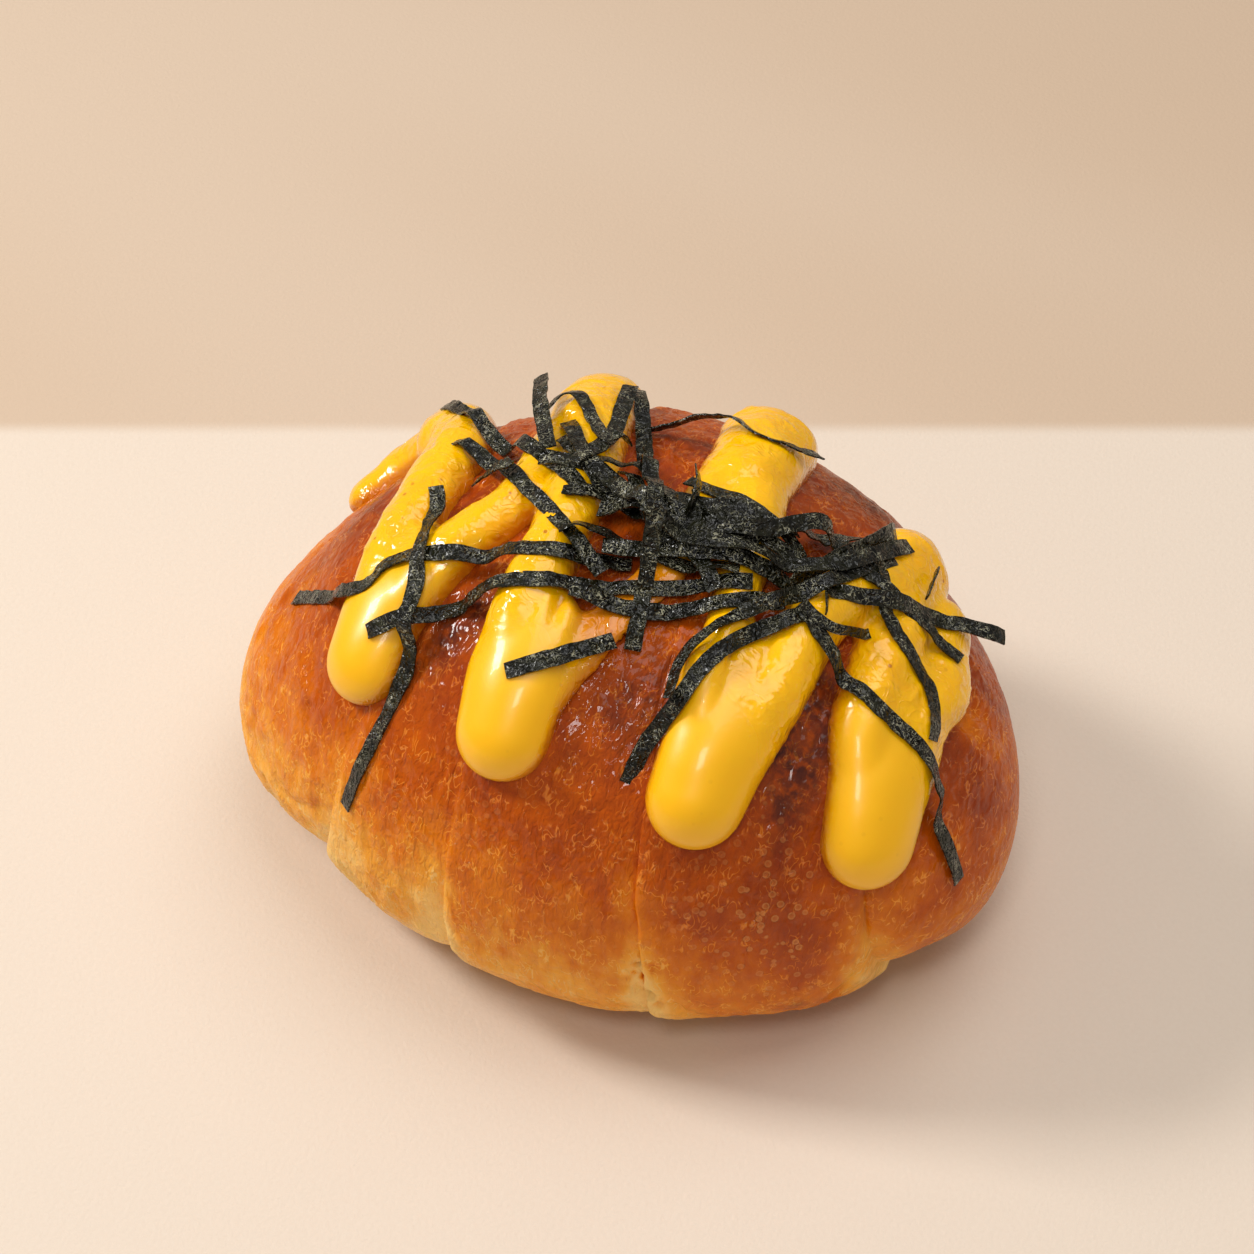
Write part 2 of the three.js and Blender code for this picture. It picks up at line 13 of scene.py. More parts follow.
import bpy
import numpy as np
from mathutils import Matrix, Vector


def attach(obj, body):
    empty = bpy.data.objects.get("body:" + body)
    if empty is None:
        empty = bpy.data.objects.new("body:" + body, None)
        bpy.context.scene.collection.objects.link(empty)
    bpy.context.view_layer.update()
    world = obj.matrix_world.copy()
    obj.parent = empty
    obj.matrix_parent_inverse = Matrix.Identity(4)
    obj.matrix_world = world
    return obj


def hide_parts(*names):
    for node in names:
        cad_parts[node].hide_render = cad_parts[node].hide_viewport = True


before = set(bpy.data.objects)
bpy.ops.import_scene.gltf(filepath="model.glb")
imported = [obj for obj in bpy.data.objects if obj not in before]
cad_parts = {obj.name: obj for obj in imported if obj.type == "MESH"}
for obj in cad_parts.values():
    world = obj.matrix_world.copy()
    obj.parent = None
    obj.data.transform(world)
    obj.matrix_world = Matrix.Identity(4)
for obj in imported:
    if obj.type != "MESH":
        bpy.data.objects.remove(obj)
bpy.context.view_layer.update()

MM = 0.001
Array = np.ndarray
log = logging.getLogger("salt_bread_roll")

# Large odd numbers that mix the bits of a cell's place, how far apart the lanes of octaves are, how many
# of the mixed bits make a value, and the shortest length that a vector is divided by.
CELL_ODDS = np.array([0x9E3779B97F4A7C15, 0xC2B2AE3D27D4EB4F, 0x165667B19E3779F9], np.uint64)
LANE_ODD = 0x2545F4914F6CDD1D
ROUND_ODD = np.uint64(0xBF58476D1CE4E5B9)
OCTAVE_LANES = 17
TOP_BITS = 24
SHORTEST = 1e-9
# Numbers of the sockets of a Mix node that mix two colours: the one under, the one over, the outcome.
MIX_UNDER, MIX_OVER, MIX_OUT = 6, 7, 2
# No stretch along any axis, and the direction along the roll.
EVEN = (1.0, 1.0, 1.0)
ALONG_X = np.array([1.0, 0.0, 0.0])
# The reach map starts from this share of the roll's length, at so many places along and round it.
MAP_LENGTH, MAP_GRID = 0.995, (420, 700)


# ---- arrays: scatter, noise and small vector helps ---------------------------------------------
def unit(vectors: Array) -> Array:
    """Each vector at length one."""
    return vectors / np.maximum(np.linalg.norm(vectors, axis=-1, keepdims=True), SHORTEST)


def ease(value: Array, low: float, high: float) -> Array:
    """0 below low, 1 above high, and between them the smooth step 3 t^2 - 2 t^3."""
    t = np.clip((np.asarray(value, float) - low) / (high - low), 0.0, 1.0)
    return t * t * (3 - 2 * t)


def scatter(cells: Array, lane: int) -> Array:
    """Even scatter of values from 0 to 1, the same on every run.

    The three whole numbers of a cell and the lane are each multiplied by a large odd number and joined by
    exclusive or; two rounds of shift and multiply mix them, and the top bits are the value.

    Args:
        cells: whole numbers, any shape ending in 3.
        lane: picks one of many such scatters.

    Returns:
        One value for each cell.
    """
    big = cells.astype(np.int64).astype(np.uint64)
    mixed = np.bitwise_xor.reduce(big * CELL_ODDS, axis=-1)
    mixed ^= np.uint64((lane * LANE_ODD) % 2**64)
    for shift in (29, 32):
        mixed ^= mixed >> np.uint64(shift)
        mixed *= ROUND_ODD
    return (mixed >> np.uint64(64 - TOP_BITS)).astype(float) / 2.0**TOP_BITS


def noise(points: Array, size: float | tuple[float, ...], lane: int, octaves: int = 1) -> Array:
    """Smooth noise from -1 to 1 whose bumps are about size apart.

    At each point the scatter of the eight corners of its cell is blended by smooth steps along the three
    axes. Each further octave adds the same at half the size and half the height.

    Args:
        points: places, any shape ending in 3.
        size: cell size, one number or one for each axis.
        lane: picks the pattern.
        octaves: how many sizes are added up.

    Returns:
        One value for each point.
    """
    total = np.zeros(points.shape[:-1])
    weight = 0.0
    for octave in range(octaves):
        scaled = points / (np.asarray(size, float) / 2**octave)
        cell = np.floor(scaled)
        t = scaled - cell
        t = t * t * (3 - 2 * t)
        for corner in np.ndindex(2, 2, 2):
            share = np.prod(np.where(corner, t, 1 - t), axis=-1)
            total += share * scatter(cell + corner, lane + OCTAVE_LANES * octave) / 2**octave
        weight += 1 / 2**octave
    return 2 * total / weight - 1


def domes(points: Array, size: float, lane: int, widest: float, share: float) -> Array:
    """Height, 0 to 1, of round domes strewn through space, at most one in each cell.

    A cell has a dome with the chance share, at a scattered place in it and with a radius from a third of
    widest to widest. The height over a dome is (1 - d^2 / r^2) squared, and the highest dome counts.

    Args:
        points: places, any shape ending in 3.
        size: cell size.
        lane: picks the pattern.
        widest: largest radius.
        share: chance of a dome in a cell.

    Returns:
        One value for each point.
    """
    cell = np.floor(points / size)
    best = np.zeros(points.shape[:-1])
    for step in np.ndindex(3, 3, 3):
        near = cell + step - 1
        place = np.stack([scatter(near, lane + axis) for axis in range(3)], axis=-1)
        radius = widest * (1 / 3 + 2 / 3 * scatter(near, lane + 3))
        away = np.sum((points - (near + place) * size) ** 2, axis=-1) / radius**2
        there = scatter(near, lane + 4) < share
        best = np.maximum(best, np.where(there, np.clip(1 - away, 0, 1) ** 2, 0))
    return best


@dataclass(frozen=True)
class Ripple:
    """Smooth noise used as a height: its rise, the size of its bumps, its lane and its octaves."""

    rise: float
    size: float | tuple[float, ...]
    lane: int
    octaves: int = 1

    def at(self, points: Array) -> Array:
        """Its height at each place."""
        return self.rise * noise(points, self.size, self.lane, self.octaves)


@dataclass(frozen=True)
class Strewn:
    """Strewn domes used as a height: their rise, cell, lane, largest radius and share of the cells."""

    rise: float
    size: float
    lane: int
    widest: float
    share: float

    def at(self, points: Array) -> Array:
        """Its height at each place."""
        return self.rise * domes(points, self.size, self.lane, self.widest, self.share)


def smooth_run(stops: Array, step: float, places: int) -> Array:
    """Smooth run through stops of any number of values.

    Between stops b and c, with a before and d after them, it is the cubic
    b + t/2 (c - a + t (2a - 5b + 4c - d + t (3b - a - 3c + d))).

    Args:
        stops: one row for each stop.
        step: distance between the run's points.
        places: how many of the leading values are coordinates, from which distance is taken.

    Returns:
        One row for each point of the run.
    """
    ends = np.vstack([2 * stops[0] - stops[1], stops, 2 * stops[-1] - stops[-2]])
    spans = []
    for a, b, c, d in zip(ends, ends[1:], ends[2:], ends[3:]):
        count = max(round(float(np.linalg.norm((c - b)[:places])) / step), 1)
        t = (np.arange(count) / count)[:, None]
        spans.append(b + t / 2 * (c - a + t * (2 * a - 5 * b + 4 * c - d + t * (3 * b - a - 3 * c + d))))
    return np.vstack([*spans, stops[-1:]])


def blur(values: Array, reach: int) -> Array:
    """Running mean along the first axis over 2 reach + 1 rows, the end rows repeated."""
    padded = np.concatenate([values[:1].repeat(reach, 0), values, values[-1:].repeat(reach, 0)])
    return np.mean([padded[i : i + len(values)] for i in range(2 * reach + 1)], axis=0)


# ---- meshes --------------------------------------------------------------------------------------
@dataclass
class Skin:
    """A surface on its way to a mesh: points in millimetres, four-sided and three-sided faces."""

    points: Array
    quads: Array
    triangles: Array

    @classmethod
    def of_rings(cls, rings: Array, first: Array, last: Array) -> "Skin":
        """Closed skin over rings of points with a point at either end.

        Args:
            rings: array of rings, spokes, 3; a ring runs clockwise as seen from the last point's side.
            first: the point before the first ring.
            last: the point after the last ring.

        Returns:
            The skin, its points in the order first, rings, last.
        """
        count, around = rings.shape[:2]
        index = 1 + np.arange(count * around).reshape(count, around)
        ahead = np.roll(index, -1, axis=1)
        quads = np.stack([index[:-1], ahead[:-1], ahead[1:], index[1:]], axis=-1).reshape(-1, 4)
        end = count * around + 1
        start_fan = np.stack([np.zeros(around, int), ahead[0], index[0]], axis=-1)
        end_fan = np.stack([np.full(around, end), index[-1], ahead[-1]], axis=-1)
        points = np.vstack([first, rings.reshape(-1, 3), last])
        return cls(points, quads, np.vstack([start_fan, end_fan]))

    @classmethod
    def joined(cls, skins: list["Skin"]) -> "Skin":
        """All the skins as one, each still closed by itself."""
        starts = np.cumsum([0, *(len(skin.points) for skin in skins[:-1])])
        return cls(
            np.vstack([skin.points for skin in skins]),
            np.vstack([skin.quads + start for skin, start in zip(skins, starts)]),
            np.vstack([skin.triangles + start for skin, start in zip(skins, starts)]),
        )

    def outward(self) -> "Skin":
        """The same skin with its faces turned outward: the signed volume under them decides."""
        a, b, c, d = (self.points[self.quads[:, k]] for k in range(4))
        volume = np.sum(a * (np.cross(b, c) + np.cross(c, d)))
        e, f, g = (self.points[self.triangles[:, k]] for k in range(3))
        volume += np.sum(e * np.cross(f, g))
        if volume > 0:
            return self
        return Skin(self.points, self.quads[:, ::-1], self.triangles[:, ::-1])

    def to_object(self, name: str) -> bpy.types.Object:
        """A mesh object of that name at the origin, shaded smooth."""
        corners = np.concatenate([self.quads.ravel(), self.triangles.ravel()])
        sizes = np.concatenate([np.full(len(self.quads), 4), np.full(len(self.triangles), 3)])
        mesh = bpy.data.meshes.new(name)
        mesh.vertices.add(len(self.points))
        mesh.vertices.foreach_set("co", (self.points * MM).ravel())
        mesh.loops.add(len(corners))
        mesh.loops.foreach_set("vertex_index", corners.astype(np.int32))
        mesh.polygons.add(len(sizes))
        mesh.polygons.foreach_set("loop_start", (np.cumsum(sizes) - sizes).astype(np.int32))
        mesh.polygons.foreach_set("use_smooth", np.ones(len(sizes), bool))
        mesh.update(calc_edges=True)
        mesh.validate()
        made = bpy.data.objects.new(name, mesh)
        bpy.context.scene.collection.objects.link(made)
        return made


def store(piece: bpy.types.Object, name: str, values: Array) -> None:
    """Stores one number for each vertex of the piece, for its material to read by that name."""
    layer = piece.data.attributes.new(name, "FLOAT", "POINT")
    layer.data.foreach_set("value", np.ascontiguousarray(values, np.float32))


def points_of(piece: bpy.types.Object) -> Array:
    """The piece's vertices in millimetres."""
    flat = np.empty(3 * len(piece.data.vertices), np.float32)
    piece.data.vertices.foreach_get("co", flat)
    return flat.reshape(-1, 3).astype(float) / MM


def normals_of(piece: bpy.types.Object) -> Array:
    """The piece's vertex normals."""
    flat = np.empty(3 * len(piece.data.vertices), np.float32)
    piece.data.vertices.foreach_get("normal", flat)
    return flat.reshape(-1, 3).astype(float)


# ---- finishes ------------------------------------------------------------------------------------
Colour = tuple[float, float, float, float]


def paint(red: int, green: int, blue: int) -> Colour:
    """A colour as Blender mixes it, from the usual 0 to 255 values."""
    parts = [v / 255 for v in (red, green, blue)]
    light = [v / 12.92 if v < 0.04045 else ((v + 0.055) / 1.055) ** 2.4 for v in parts]
    return (light[0], light[1], light[2], 1.0)


@dataclass(frozen=True)
class Grain:
    """A noise pattern: millimetres between its bumps, finer octaves, warp, and stretch along each axis."""

    size: float
    detail: float = 2.0
    distort: float = 0.0
    stretch: tuple[float, float, float] = EVEN


@dataclass(frozen=True)
class Slope:
    """A smooth step from one number, held up to low, to another, held from high on."""

    low: float
    high: float
    start: float = 0.0
    end: float = 1.0


class Sheet:
    """The node sheet of one material, with short calls that add its nodes and join them."""

    def __init__(self, name: str) -> None:
        """Starts a material with its shader and the Object coordinates that its patterns read."""
        self.material = bpy.data.materials.new(name)
        self.material.use_nodes = True
        self.tree = self.material.node_tree
        self.shader = self.tree.nodes["Principled BSDF"]
        self.where = self.tree.nodes.new("ShaderNodeTexCoord").outputs["Object"]

    def put(self, socket: bpy.types.NodeSocket, value: object) -> None:
        """Links the socket to another one, or sets its number or colour."""
        if isinstance(value, bpy.types.NodeSocket):
            self.tree.links.new(value, socket)
        else:
            socket.default_value = value

    def set(self, **values: object) -> None:
        """Sets sockets of the shader, their names written with _ for each space."""
        for name, value in values.items():
            self.put(self.shader.inputs[name.replace("_", " ")], value)

    def attribute(self, name: str) -> bpy.types.NodeSocket:
        """A number stored on the vertices."""
        node = self.tree.nodes.new("ShaderNodeAttribute")
        node.attribute_name = name
        return node.outputs["Fac"]

    def stretched(self, stretch: tuple[float, float, float]) -> bpy.types.NodeSocket:
        """Object coordinates squeezed so that a pattern on them comes out longer along each axis."""
        node = self.tree.nodes.new("ShaderNodeMapping")
        self.put(node.inputs["Vector"], self.where)
        node.inputs["Scale"].default_value = [1 / s for s in stretch]
        return node.outputs["Vector"]

    def noise(self, grain: Grain) -> bpy.types.NodeSocket:
        """The grain's noise, about 0 to 1."""
        node = self.tree.nodes.new("ShaderNodeTexNoise")
        at = self.where if grain.stretch == EVEN else self.stretched(grain.stretch)
        self.put(node.inputs["Vector"], at)
        node.inputs["Scale"].default_value = 1 / (grain.size * MM)
        node.inputs["Detail"].default_value = grain.detail
        node.inputs["Distortion"].default_value = grain.distort
        return node.outputs["Fac"]

    def cells(self, size: float) -> bpy.types.NodeSocket:
        """Distance to the nearest middle in a scatter of cells, size millimetres across."""
        node = self.tree.nodes.new("ShaderNodeTexVoronoi")
        self.put(node.inputs["Vector"], self.where)
        node.inputs["Scale"].default_value = 1 / (size * MM)
        return node.outputs["Distance"]

    def math(self, what: str, one: object, other: object = 0.0) -> bpy.types.NodeSocket:
        """The sum, product or other operation of two numbers."""
        node = self.tree.nodes.new("ShaderNodeMath")
        node.operation = what
        self.put(node.inputs[0], one)
        self.put(node.inputs[1], other)
        return node.outputs[0]

    def times(self, one: object, other: object) -> bpy.types.NodeSocket:
        """The product of two numbers."""
        return self.math("MULTIPLY", one, other)

    def fit(self, value: object, slope: Slope) -> bpy.types.NodeSocket:
        """The value carried up or down the slope."""
        node = self.tree.nodes.new("ShaderNodeMapRange")
        node.interpolation_type = "SMOOTHSTEP"
        names = ("Value", "From Min", "From Max", "To Min", "To Max")
        for name, number in zip(names, (value, slope.low, slope.high, slope.start, slope.end)):
            self.put(node.inputs[name], number)
        return node.outputs["Result"]

    def ridges(self, grain: Grain, width: float) -> bpy.types.NodeSocket:
        """Thin lines, 1 where the grain's noise crosses one half and 0 from width away from it."""
        away = self.math("ABSOLUTE", self.math("SUBTRACT", self.noise(grain), 0.5))
        return self.fit(away, Slope(0.0, width, 1.0, 0.0))

    def ramp(self, value: object, stops: list[tuple[float, Colour]]) -> bpy.types.NodeSocket:
        """Colour by a number, even between the stops."""
        node = self.tree.nodes.new("ShaderNodeValToRGB")
        self.put(node.inputs["Fac"], value)
        band = node.color_ramp
        band.interpolation = "LINEAR"
        while len(band.elements) < len(stops):
            band.elements.new(0.5)
        for element, (place, colour) in zip(band.elements, stops):
            element.position = place
            element.color = colour
        return node.outputs["Color"]

    def lay(self, share: object, under: object, over: object) -> bpy.types.NodeSocket:
        """One colour laid over another by a share from 0 to 1."""
        node = self.tree.nodes.new("ShaderNodeMix")
        node.data_type = "RGBA"
        self.put(node.inputs["Factor"], share)
        self.put(node.inputs[MIX_UNDER], under)
        self.put(node.inputs[MIX_OVER], over)
        return node.outputs[MIX_OUT]

    def bump(self, layers: list[tuple[object, float]], socket: str = "Normal") -> None:
        """Relief too fine for the mesh.

        Args:
            layers: pairs of a 0 to 1 height and its depth in millimetres, one laid on the other.
            socket: the shader's socket that shows it, its skin's or its glossy coat's.
        """
        for height, depth in layers:
            node = self.tree.nodes.new("ShaderNodeBump")
            node.inputs["Distance"].default_value = depth * MM
            self.put(node.inputs["Height"], height)
            if self.shader.inputs[socket].is_linked:
                self.put(node.inputs["Normal"], self.shader.inputs[socket].links[0].from_socket)
            self.put(self.shader.inputs[socket], node.outputs["Normal"])


@dataclass(frozen=True)
class CrustFinish:
    """Egg-washed crust: pale dough where it was covered, gold, orange-brown, then dark on top.

    How far a place browned picks its colour: the stored bake, made uneven by streaks that run round the
    roll and by patches, and less along the fine lines of the skin. The lines are also tinted pale: partly the
    skin's own pale marks, partly painted glints. Blisters are paler rings.
    """

    pale: Colour = paint(246, 198, 112)
    gold: Colour = paint(242, 164, 50)
    amber: Colour = paint(219, 118, 10)
    brown: Colour = paint(186, 81, 3)
    red: Colour = paint(148, 56, 16)
    deep: Colour = paint(106, 42, 24)
    scorched: Colour = paint(62, 30, 28)
    # Pale blister colour, also laid on the fine lines as painted glints.
    blister_and_glint: Colour = paint(232, 158, 88)
    lines: Grain = Grain(1.2, 1, 0.7, (1.0, 1.8, 1.8))
    line_width: float = 0.045
    line_groups: Grain = Grain(2.6)
    line_share: Slope = Slope(0.45, 0.6, 0.05)
    line_lightening: float = 0.2
    # Share of the pale tint on the fine lines: partly their own pale marks, partly painted glints.
    line_pale_and_glint: float = 0.22
    line_depth: float = 0.25
    streaks: Grain = Grain(1.3, 4, 0.4, (1.0, 4.0, 4.0))
    streak_share: float = 0.2
    patches: Grain = Grain(6.0, 4, 0.5)
    patch_share: float = 0.34
    unevenness: float = 0.27
    blister_cell: float = 1.9
    blister_disc: Slope = Slope(0.26, 0.34, 1.0, 0.0)
    blister_middle: Slope = Slope(0.1, 0.26, 0.55, 0.0)
    blister_tint: float = 0.45
    blister_depth: float = 0.14
    mottle: Grain = Grain(1.5, 3, 0.3)
    mottle_share: Slope = Slope(0.32, 0.6, 0.45)
    gloss: Slope = Slope(0.0, 1.0, 0.5, 0.27)
    worms: Grain = Grain(0.85, 1.5, 1.1, (1.0, 2.2, 2.2))
    worm_depth: float = 0.38
    pores: Grain = Grain(0.35)
    pore_depth: float = 0.04
    waves: Grain = Grain(1.5, 0, 0.9, (1.0, 1.6, 1.6))
    wave_depth: float = 0.42

    def level(self, sheet: Sheet, lines: bpy.types.NodeSocket) -> bpy.types.NodeSocket:
        """How far each place browned, 0 pale to 1 deep.

        Args:
            sheet: the crust's sheet.
            lines: the fine lines of the skin, 0 to 1.

        Returns:
            The stored bake, less the lines' share, plus streaks and patches less their mean.
        """
        streaks = sheet.times(sheet.noise(self.streaks), self.streak_share)
        patches = sheet.times(sheet.noise(self.patches), self.patch_share)
        uneven = sheet.math("SUBTRACT", sheet.math("ADD", streaks, patches), self.unevenness)
        level = sheet.math("ADD", sheet.attribute("bake"), uneven)
        return sheet.math("SUBTRACT", level, sheet.times(lines, self.line_lightening))

    def material(self) -> bpy.types.Material:
        """The crust's material: it reads bake, scorch, shine and spot from the vertices."""
        sheet = Sheet("baked_crust")
        groups = sheet.fit(sheet.noise(self.line_groups), self.line_share)
        lines = sheet.times(sheet.ridges(self.lines, self.line_width), groups)
        tones = (self.pale, self.gold, self.amber, self.brown, self.red, self.deep)
        stops = [(k / (len(tones) - 1), tone) for k, tone in enumerate(tones)]
        colour = sheet.ramp(self.level(sheet, lines), stops)
        # The fine lines tinted pale: partly the skin's own pale marks, partly painted glints.
        colour = sheet.lay(sheet.times(lines, self.line_pale_and_glint), colour, self.blister_and_glint)
        away = sheet.cells(self.blister_cell)
        disc = sheet.fit(away, self.blister_disc)
        ring = sheet.math("SUBTRACT", disc, sheet.fit(away, self.blister_middle))
        spots = sheet.times(ring, sheet.attribute("spot"))
        colour = sheet.lay(sheet.times(spots, self.blister_tint), colour, self.blister_and_glint)
        mottle = sheet.fit(sheet.noise(self.mottle), self.mottle_share)
        colour = sheet.lay(sheet.times(sheet.attribute("scorch"), mottle), colour, self.scorched)
        sheet.set(Base_Color=colour, Roughness=sheet.fit(sheet.attribute("shine"), self.gloss))
        sheet.set(Subsurface_Weight=0.05, Subsurface_Radius=(1.0, 0.35, 0.1), Subsurface_Scale=2 * MM)
        sheet.set(Coat_Weight=0.45, Coat_Roughness=0.06, Specular_IOR_Level=0.0)
        pores = (sheet.noise(self.pores), self.pore_depth)
        sheet.bump([(sheet.noise(self.worms), self.worm_depth), (spots, self.blister_depth), pores])
        sheet.bump([(sheet.noise(self.waves), self.wave_depth), (lines, self.line_depth)], "Coat Normal")
        return sheet.material


@dataclass(frozen=True)
class CreamFinish:
    """Set yellow cream: soft on the smooth tips, glossy where it wrinkled, warmer where it is thin."""

    bright: Colour = paint(254, 187, 0)
    warm: Colour = paint(246, 172, 6)
    thin: Colour = paint(192, 98, 12)
    speck: Colour = paint(168, 84, 14)
    clouds: Grain = Grain(5.0, 3, 0.5)
    cloud_share: Slope = Slope(0.4, 0.75, 0.0, 0.85)
    thin_share: float = 0.8
    speck_cell: float = 3.6
    speck_disc: Slope = Slope(0.05, 0.12, 0.8, 0.0)
    speck_share: Slope = Slope(0.4, 0.9, 0.1)
    gloss: Slope = Slope(0.05, 0.45, 0.34, 0.07)
    folds: Grain = Grain(3.0, 0.5, 1.8)
    fold_width: float = 0.13
    fold_depths: tuple[float, float] = (0.05, 0.5)
    dents: Grain = Grain(2.2, 0, 0.9)
    dent_depths: tuple[float, float] = (0.42, 0.8)
    swells: Grain = Grain(6.0, 0)
    swell_depth: float = 0.3

    def material(self) -> bpy.types.Material:
        """The cream's material: it reads skin and thin from the cream's vertices."""
        sheet = Sheet("piped_cream")
        skin = sheet.attribute("skin")
        tone = sheet.times(skin, sheet.fit(sheet.noise(self.clouds), self.cloud_share))
        colour = sheet.lay(tone, self.bright, self.warm)
        colour = sheet.lay(sheet.times(sheet.attribute("thin"), self.thin_share), colour, self.thin)
        dots = sheet.fit(sheet.cells(self.speck_cell), self.speck_disc)
        colour = sheet.lay(sheet.times(dots, sheet.fit(skin, self.speck_share)), colour, self.speck)
        sheet.set(Base_Color=colour, Roughness=sheet.fit(skin, self.gloss))
        sheet.set(Subsurface_Weight=0.2, Subsurface_Radius=(1.0, 0.5, 0.05), Subsurface_Scale=2 * MM)
        sheet.set(Coat_Weight=0.22, Coat_Roughness=0.05, Specular_IOR_Level=0.45)
        folds = sheet.times(sheet.ridges(self.folds, self.fold_width), skin)
        dents = sheet.times(sheet.noise(self.dents), skin)
        swells = (sheet.noise(self.swells), self.swell_depth)
        sheet.bump([(dents, self.dent_depths[0]), (folds, self.fold_depths[0]), swells])
        sheet.bump([(dents, self.dent_depths[1]), (folds, self.fold_depths[1])], "Coat Normal")
        return sheet.material


@dataclass(frozen=True)
class NoriFinish:
    """Dried seaweed: near black with a green cast, with pale grey lines painted on as the glints of its
    crinkles.
    """

    dark: Colour = paint(5, 5, 3)
    green: Colour = paint(26, 26, 11)
    # Pale grey of the painted glints on the crinkles.
    glint_grey: Colour = paint(172, 168, 142)
    cast: Grain = Grain(2.4, 3)
    cast_share: Slope = Slope(0.4, 0.7)
    glint_lines: Grain = Grain(0.9, 0.5, 1.4)
    glint_line_width: float = 0.04
    glint_groups: Grain = Grain(3.0)
    glint_share: Slope = Slope(0.4, 0.62, 0.04, 0.95)
    rim_share: float = 0.4
    crinkles: Grain = Grain(1.1, 1, 1.0)
    crinkle_depth: float = 0.8
    grit: Grain = Grain(0.45, 0)
    grit_depth: float = 0.1

    def material(self) -> bpy.types.Material:
        """The nori's material: it reads rim, which is 1 along the cut edges."""
        sheet = Sheet("crinkled_nori")
        colour = sheet.lay(sheet.fit(sheet.noise(self.cast), self.cast_share), self.dark, self.green)
        # Thin pale grey lines in patches: painted glints of the crinkles.
        groups = sheet.fit(sheet.noise(self.glint_groups), self.glint_share)
        glint_lines = sheet.times(sheet.ridges(self.glint_lines, self.glint_line_width), groups)
        colour = sheet.lay(glint_lines, colour, self.glint_grey)
        colour = sheet.lay(sheet.times(sheet.attribute("rim"), self.rim_share), colour, self.green)
        sheet.set(Base_Color=colour, Roughness=0.18, Specular_IOR_Level=0.32)
        crinkles = (sheet.noise(self.crinkles), self.crinkle_depth)
        sheet.bump([crinkles, (sheet.noise(self.grit), self.grit_depth)])
        return sheet.material


@dataclass(frozen=True)
class TableFinish:
    """Pale matt table top with a faint grain; behind the roll it is a shade darker, in broad soft streaks of
    painted shadow.
    """

    near: Colour = paint(222, 206, 190)
    far: Colour = paint(200, 175, 151)
    line: float = 88.0
    line_blur: float = 2.0
    heading: float = 26.0
    # Broad soft streaks of painted shadow beyond the line.
    shadow_streaks: Grain = Grain(160, 1, 0.3, (3.0, 1.0, 1.0))
    shadow_streak_share: Slope = Slope(0.35, 0.65, 0.75)
    fibres: Grain = Grain(0.8)
    fibre_share: Slope = Slope(0.3, 0.7, 0.0, 0.05)
    grit: Grain = Grain(0.7)
    grit_depth: float = 0.08

    def material(self) -> bpy.types.Material:
        """The table's material. The line lies across the heading, that many millimetres behind."""
        sheet = Sheet("pale_table")
        mapping = sheet.tree.nodes.new("ShaderNodeMapping")
        sheet.put(mapping.inputs["Vector"], sheet.where)
        mapping.inputs["Rotation"].default_value = (0, 0, -math.radians(self.heading))
        split = sheet.tree.nodes.new("ShaderNodeSeparateXYZ")
        sheet.put(split.inputs[0], mapping.outputs["Vector"])
        reach = Slope((self.line - self.line_blur) * MM, (self.line + self.line_blur) * MM)
        # Beyond the line the darker tone comes in broad soft streaks: painted soft shadows.
        beyond = sheet.times(
            sheet.fit(split.outputs["Y"], reach), sheet.fit(sheet.noise(self.shadow_streaks), self.shadow_streak_share)
        )
        colour = sheet.lay(beyond, self.near, self.far)
        fibres = sheet.fit(sheet.noise(self.fibres), self.fibre_share)
        sheet.set(Base_Color=sheet.lay(fibres, colour, self.far), Roughness=0.85, Specular_IOR_Level=0.2)
        sheet.bump([(sheet.noise(self.grit), self.grit_depth)])
        return sheet.material


# ---- the roll's plain shape ------------------------------------------------------------------------
@dataclass(frozen=True)
class LayerEdge:
    """Edge of one rolled layer: its x at the front, top and back, and the side that lies on top.

    The dough stayed pale over the reach under before the edge and the reach past beyond it; soft says
    how much of the lip and groove is left, and torn how much the dough tore open low on the front.
    """

    front: float
    top: float
    back: float
    over: int
    under: float = 3.0
    past: float = 3.0
    soft: float = 1.0
    torn: float = 0.0
    wobble: Ripple = Ripple(0.8, 0.22, 5, 2)

    def at(self, turn: Array) -> Array:
        """Its x at each turn: middle + half (back - front) cos + (top - middle) sin, and a wobble."""
        middle = (self.front + self.back) / 2
        sway = (self.back - self.front) / 2 * np.cos(turn) + (self.top - middle) * np.sin(turn)
        around = np.stack([np.cos(turn), np.sin(turn), np.full_like(turn, self.front)], axis=-1)
        return middle + sway + self.wobble.at(around)


@dataclass(frozen=True)
class Swell:
    """A broad raised or sunken place: its middle, its reach along and round, and its rise."""

    x: float
    turn: float
    along: float
    around: float
    rise: float

    def at(self, x: Array, turn: Array) -> Array:
        """Its rise at each place: a bell in x and in the angle away from its middle."""
        away = (np.degrees(turn) - self.turn + 180) % 360 - 180
        return self.rise * np.exp(-(((x - self.x) / self.along) ** 2) - (away / self.around) ** 2)


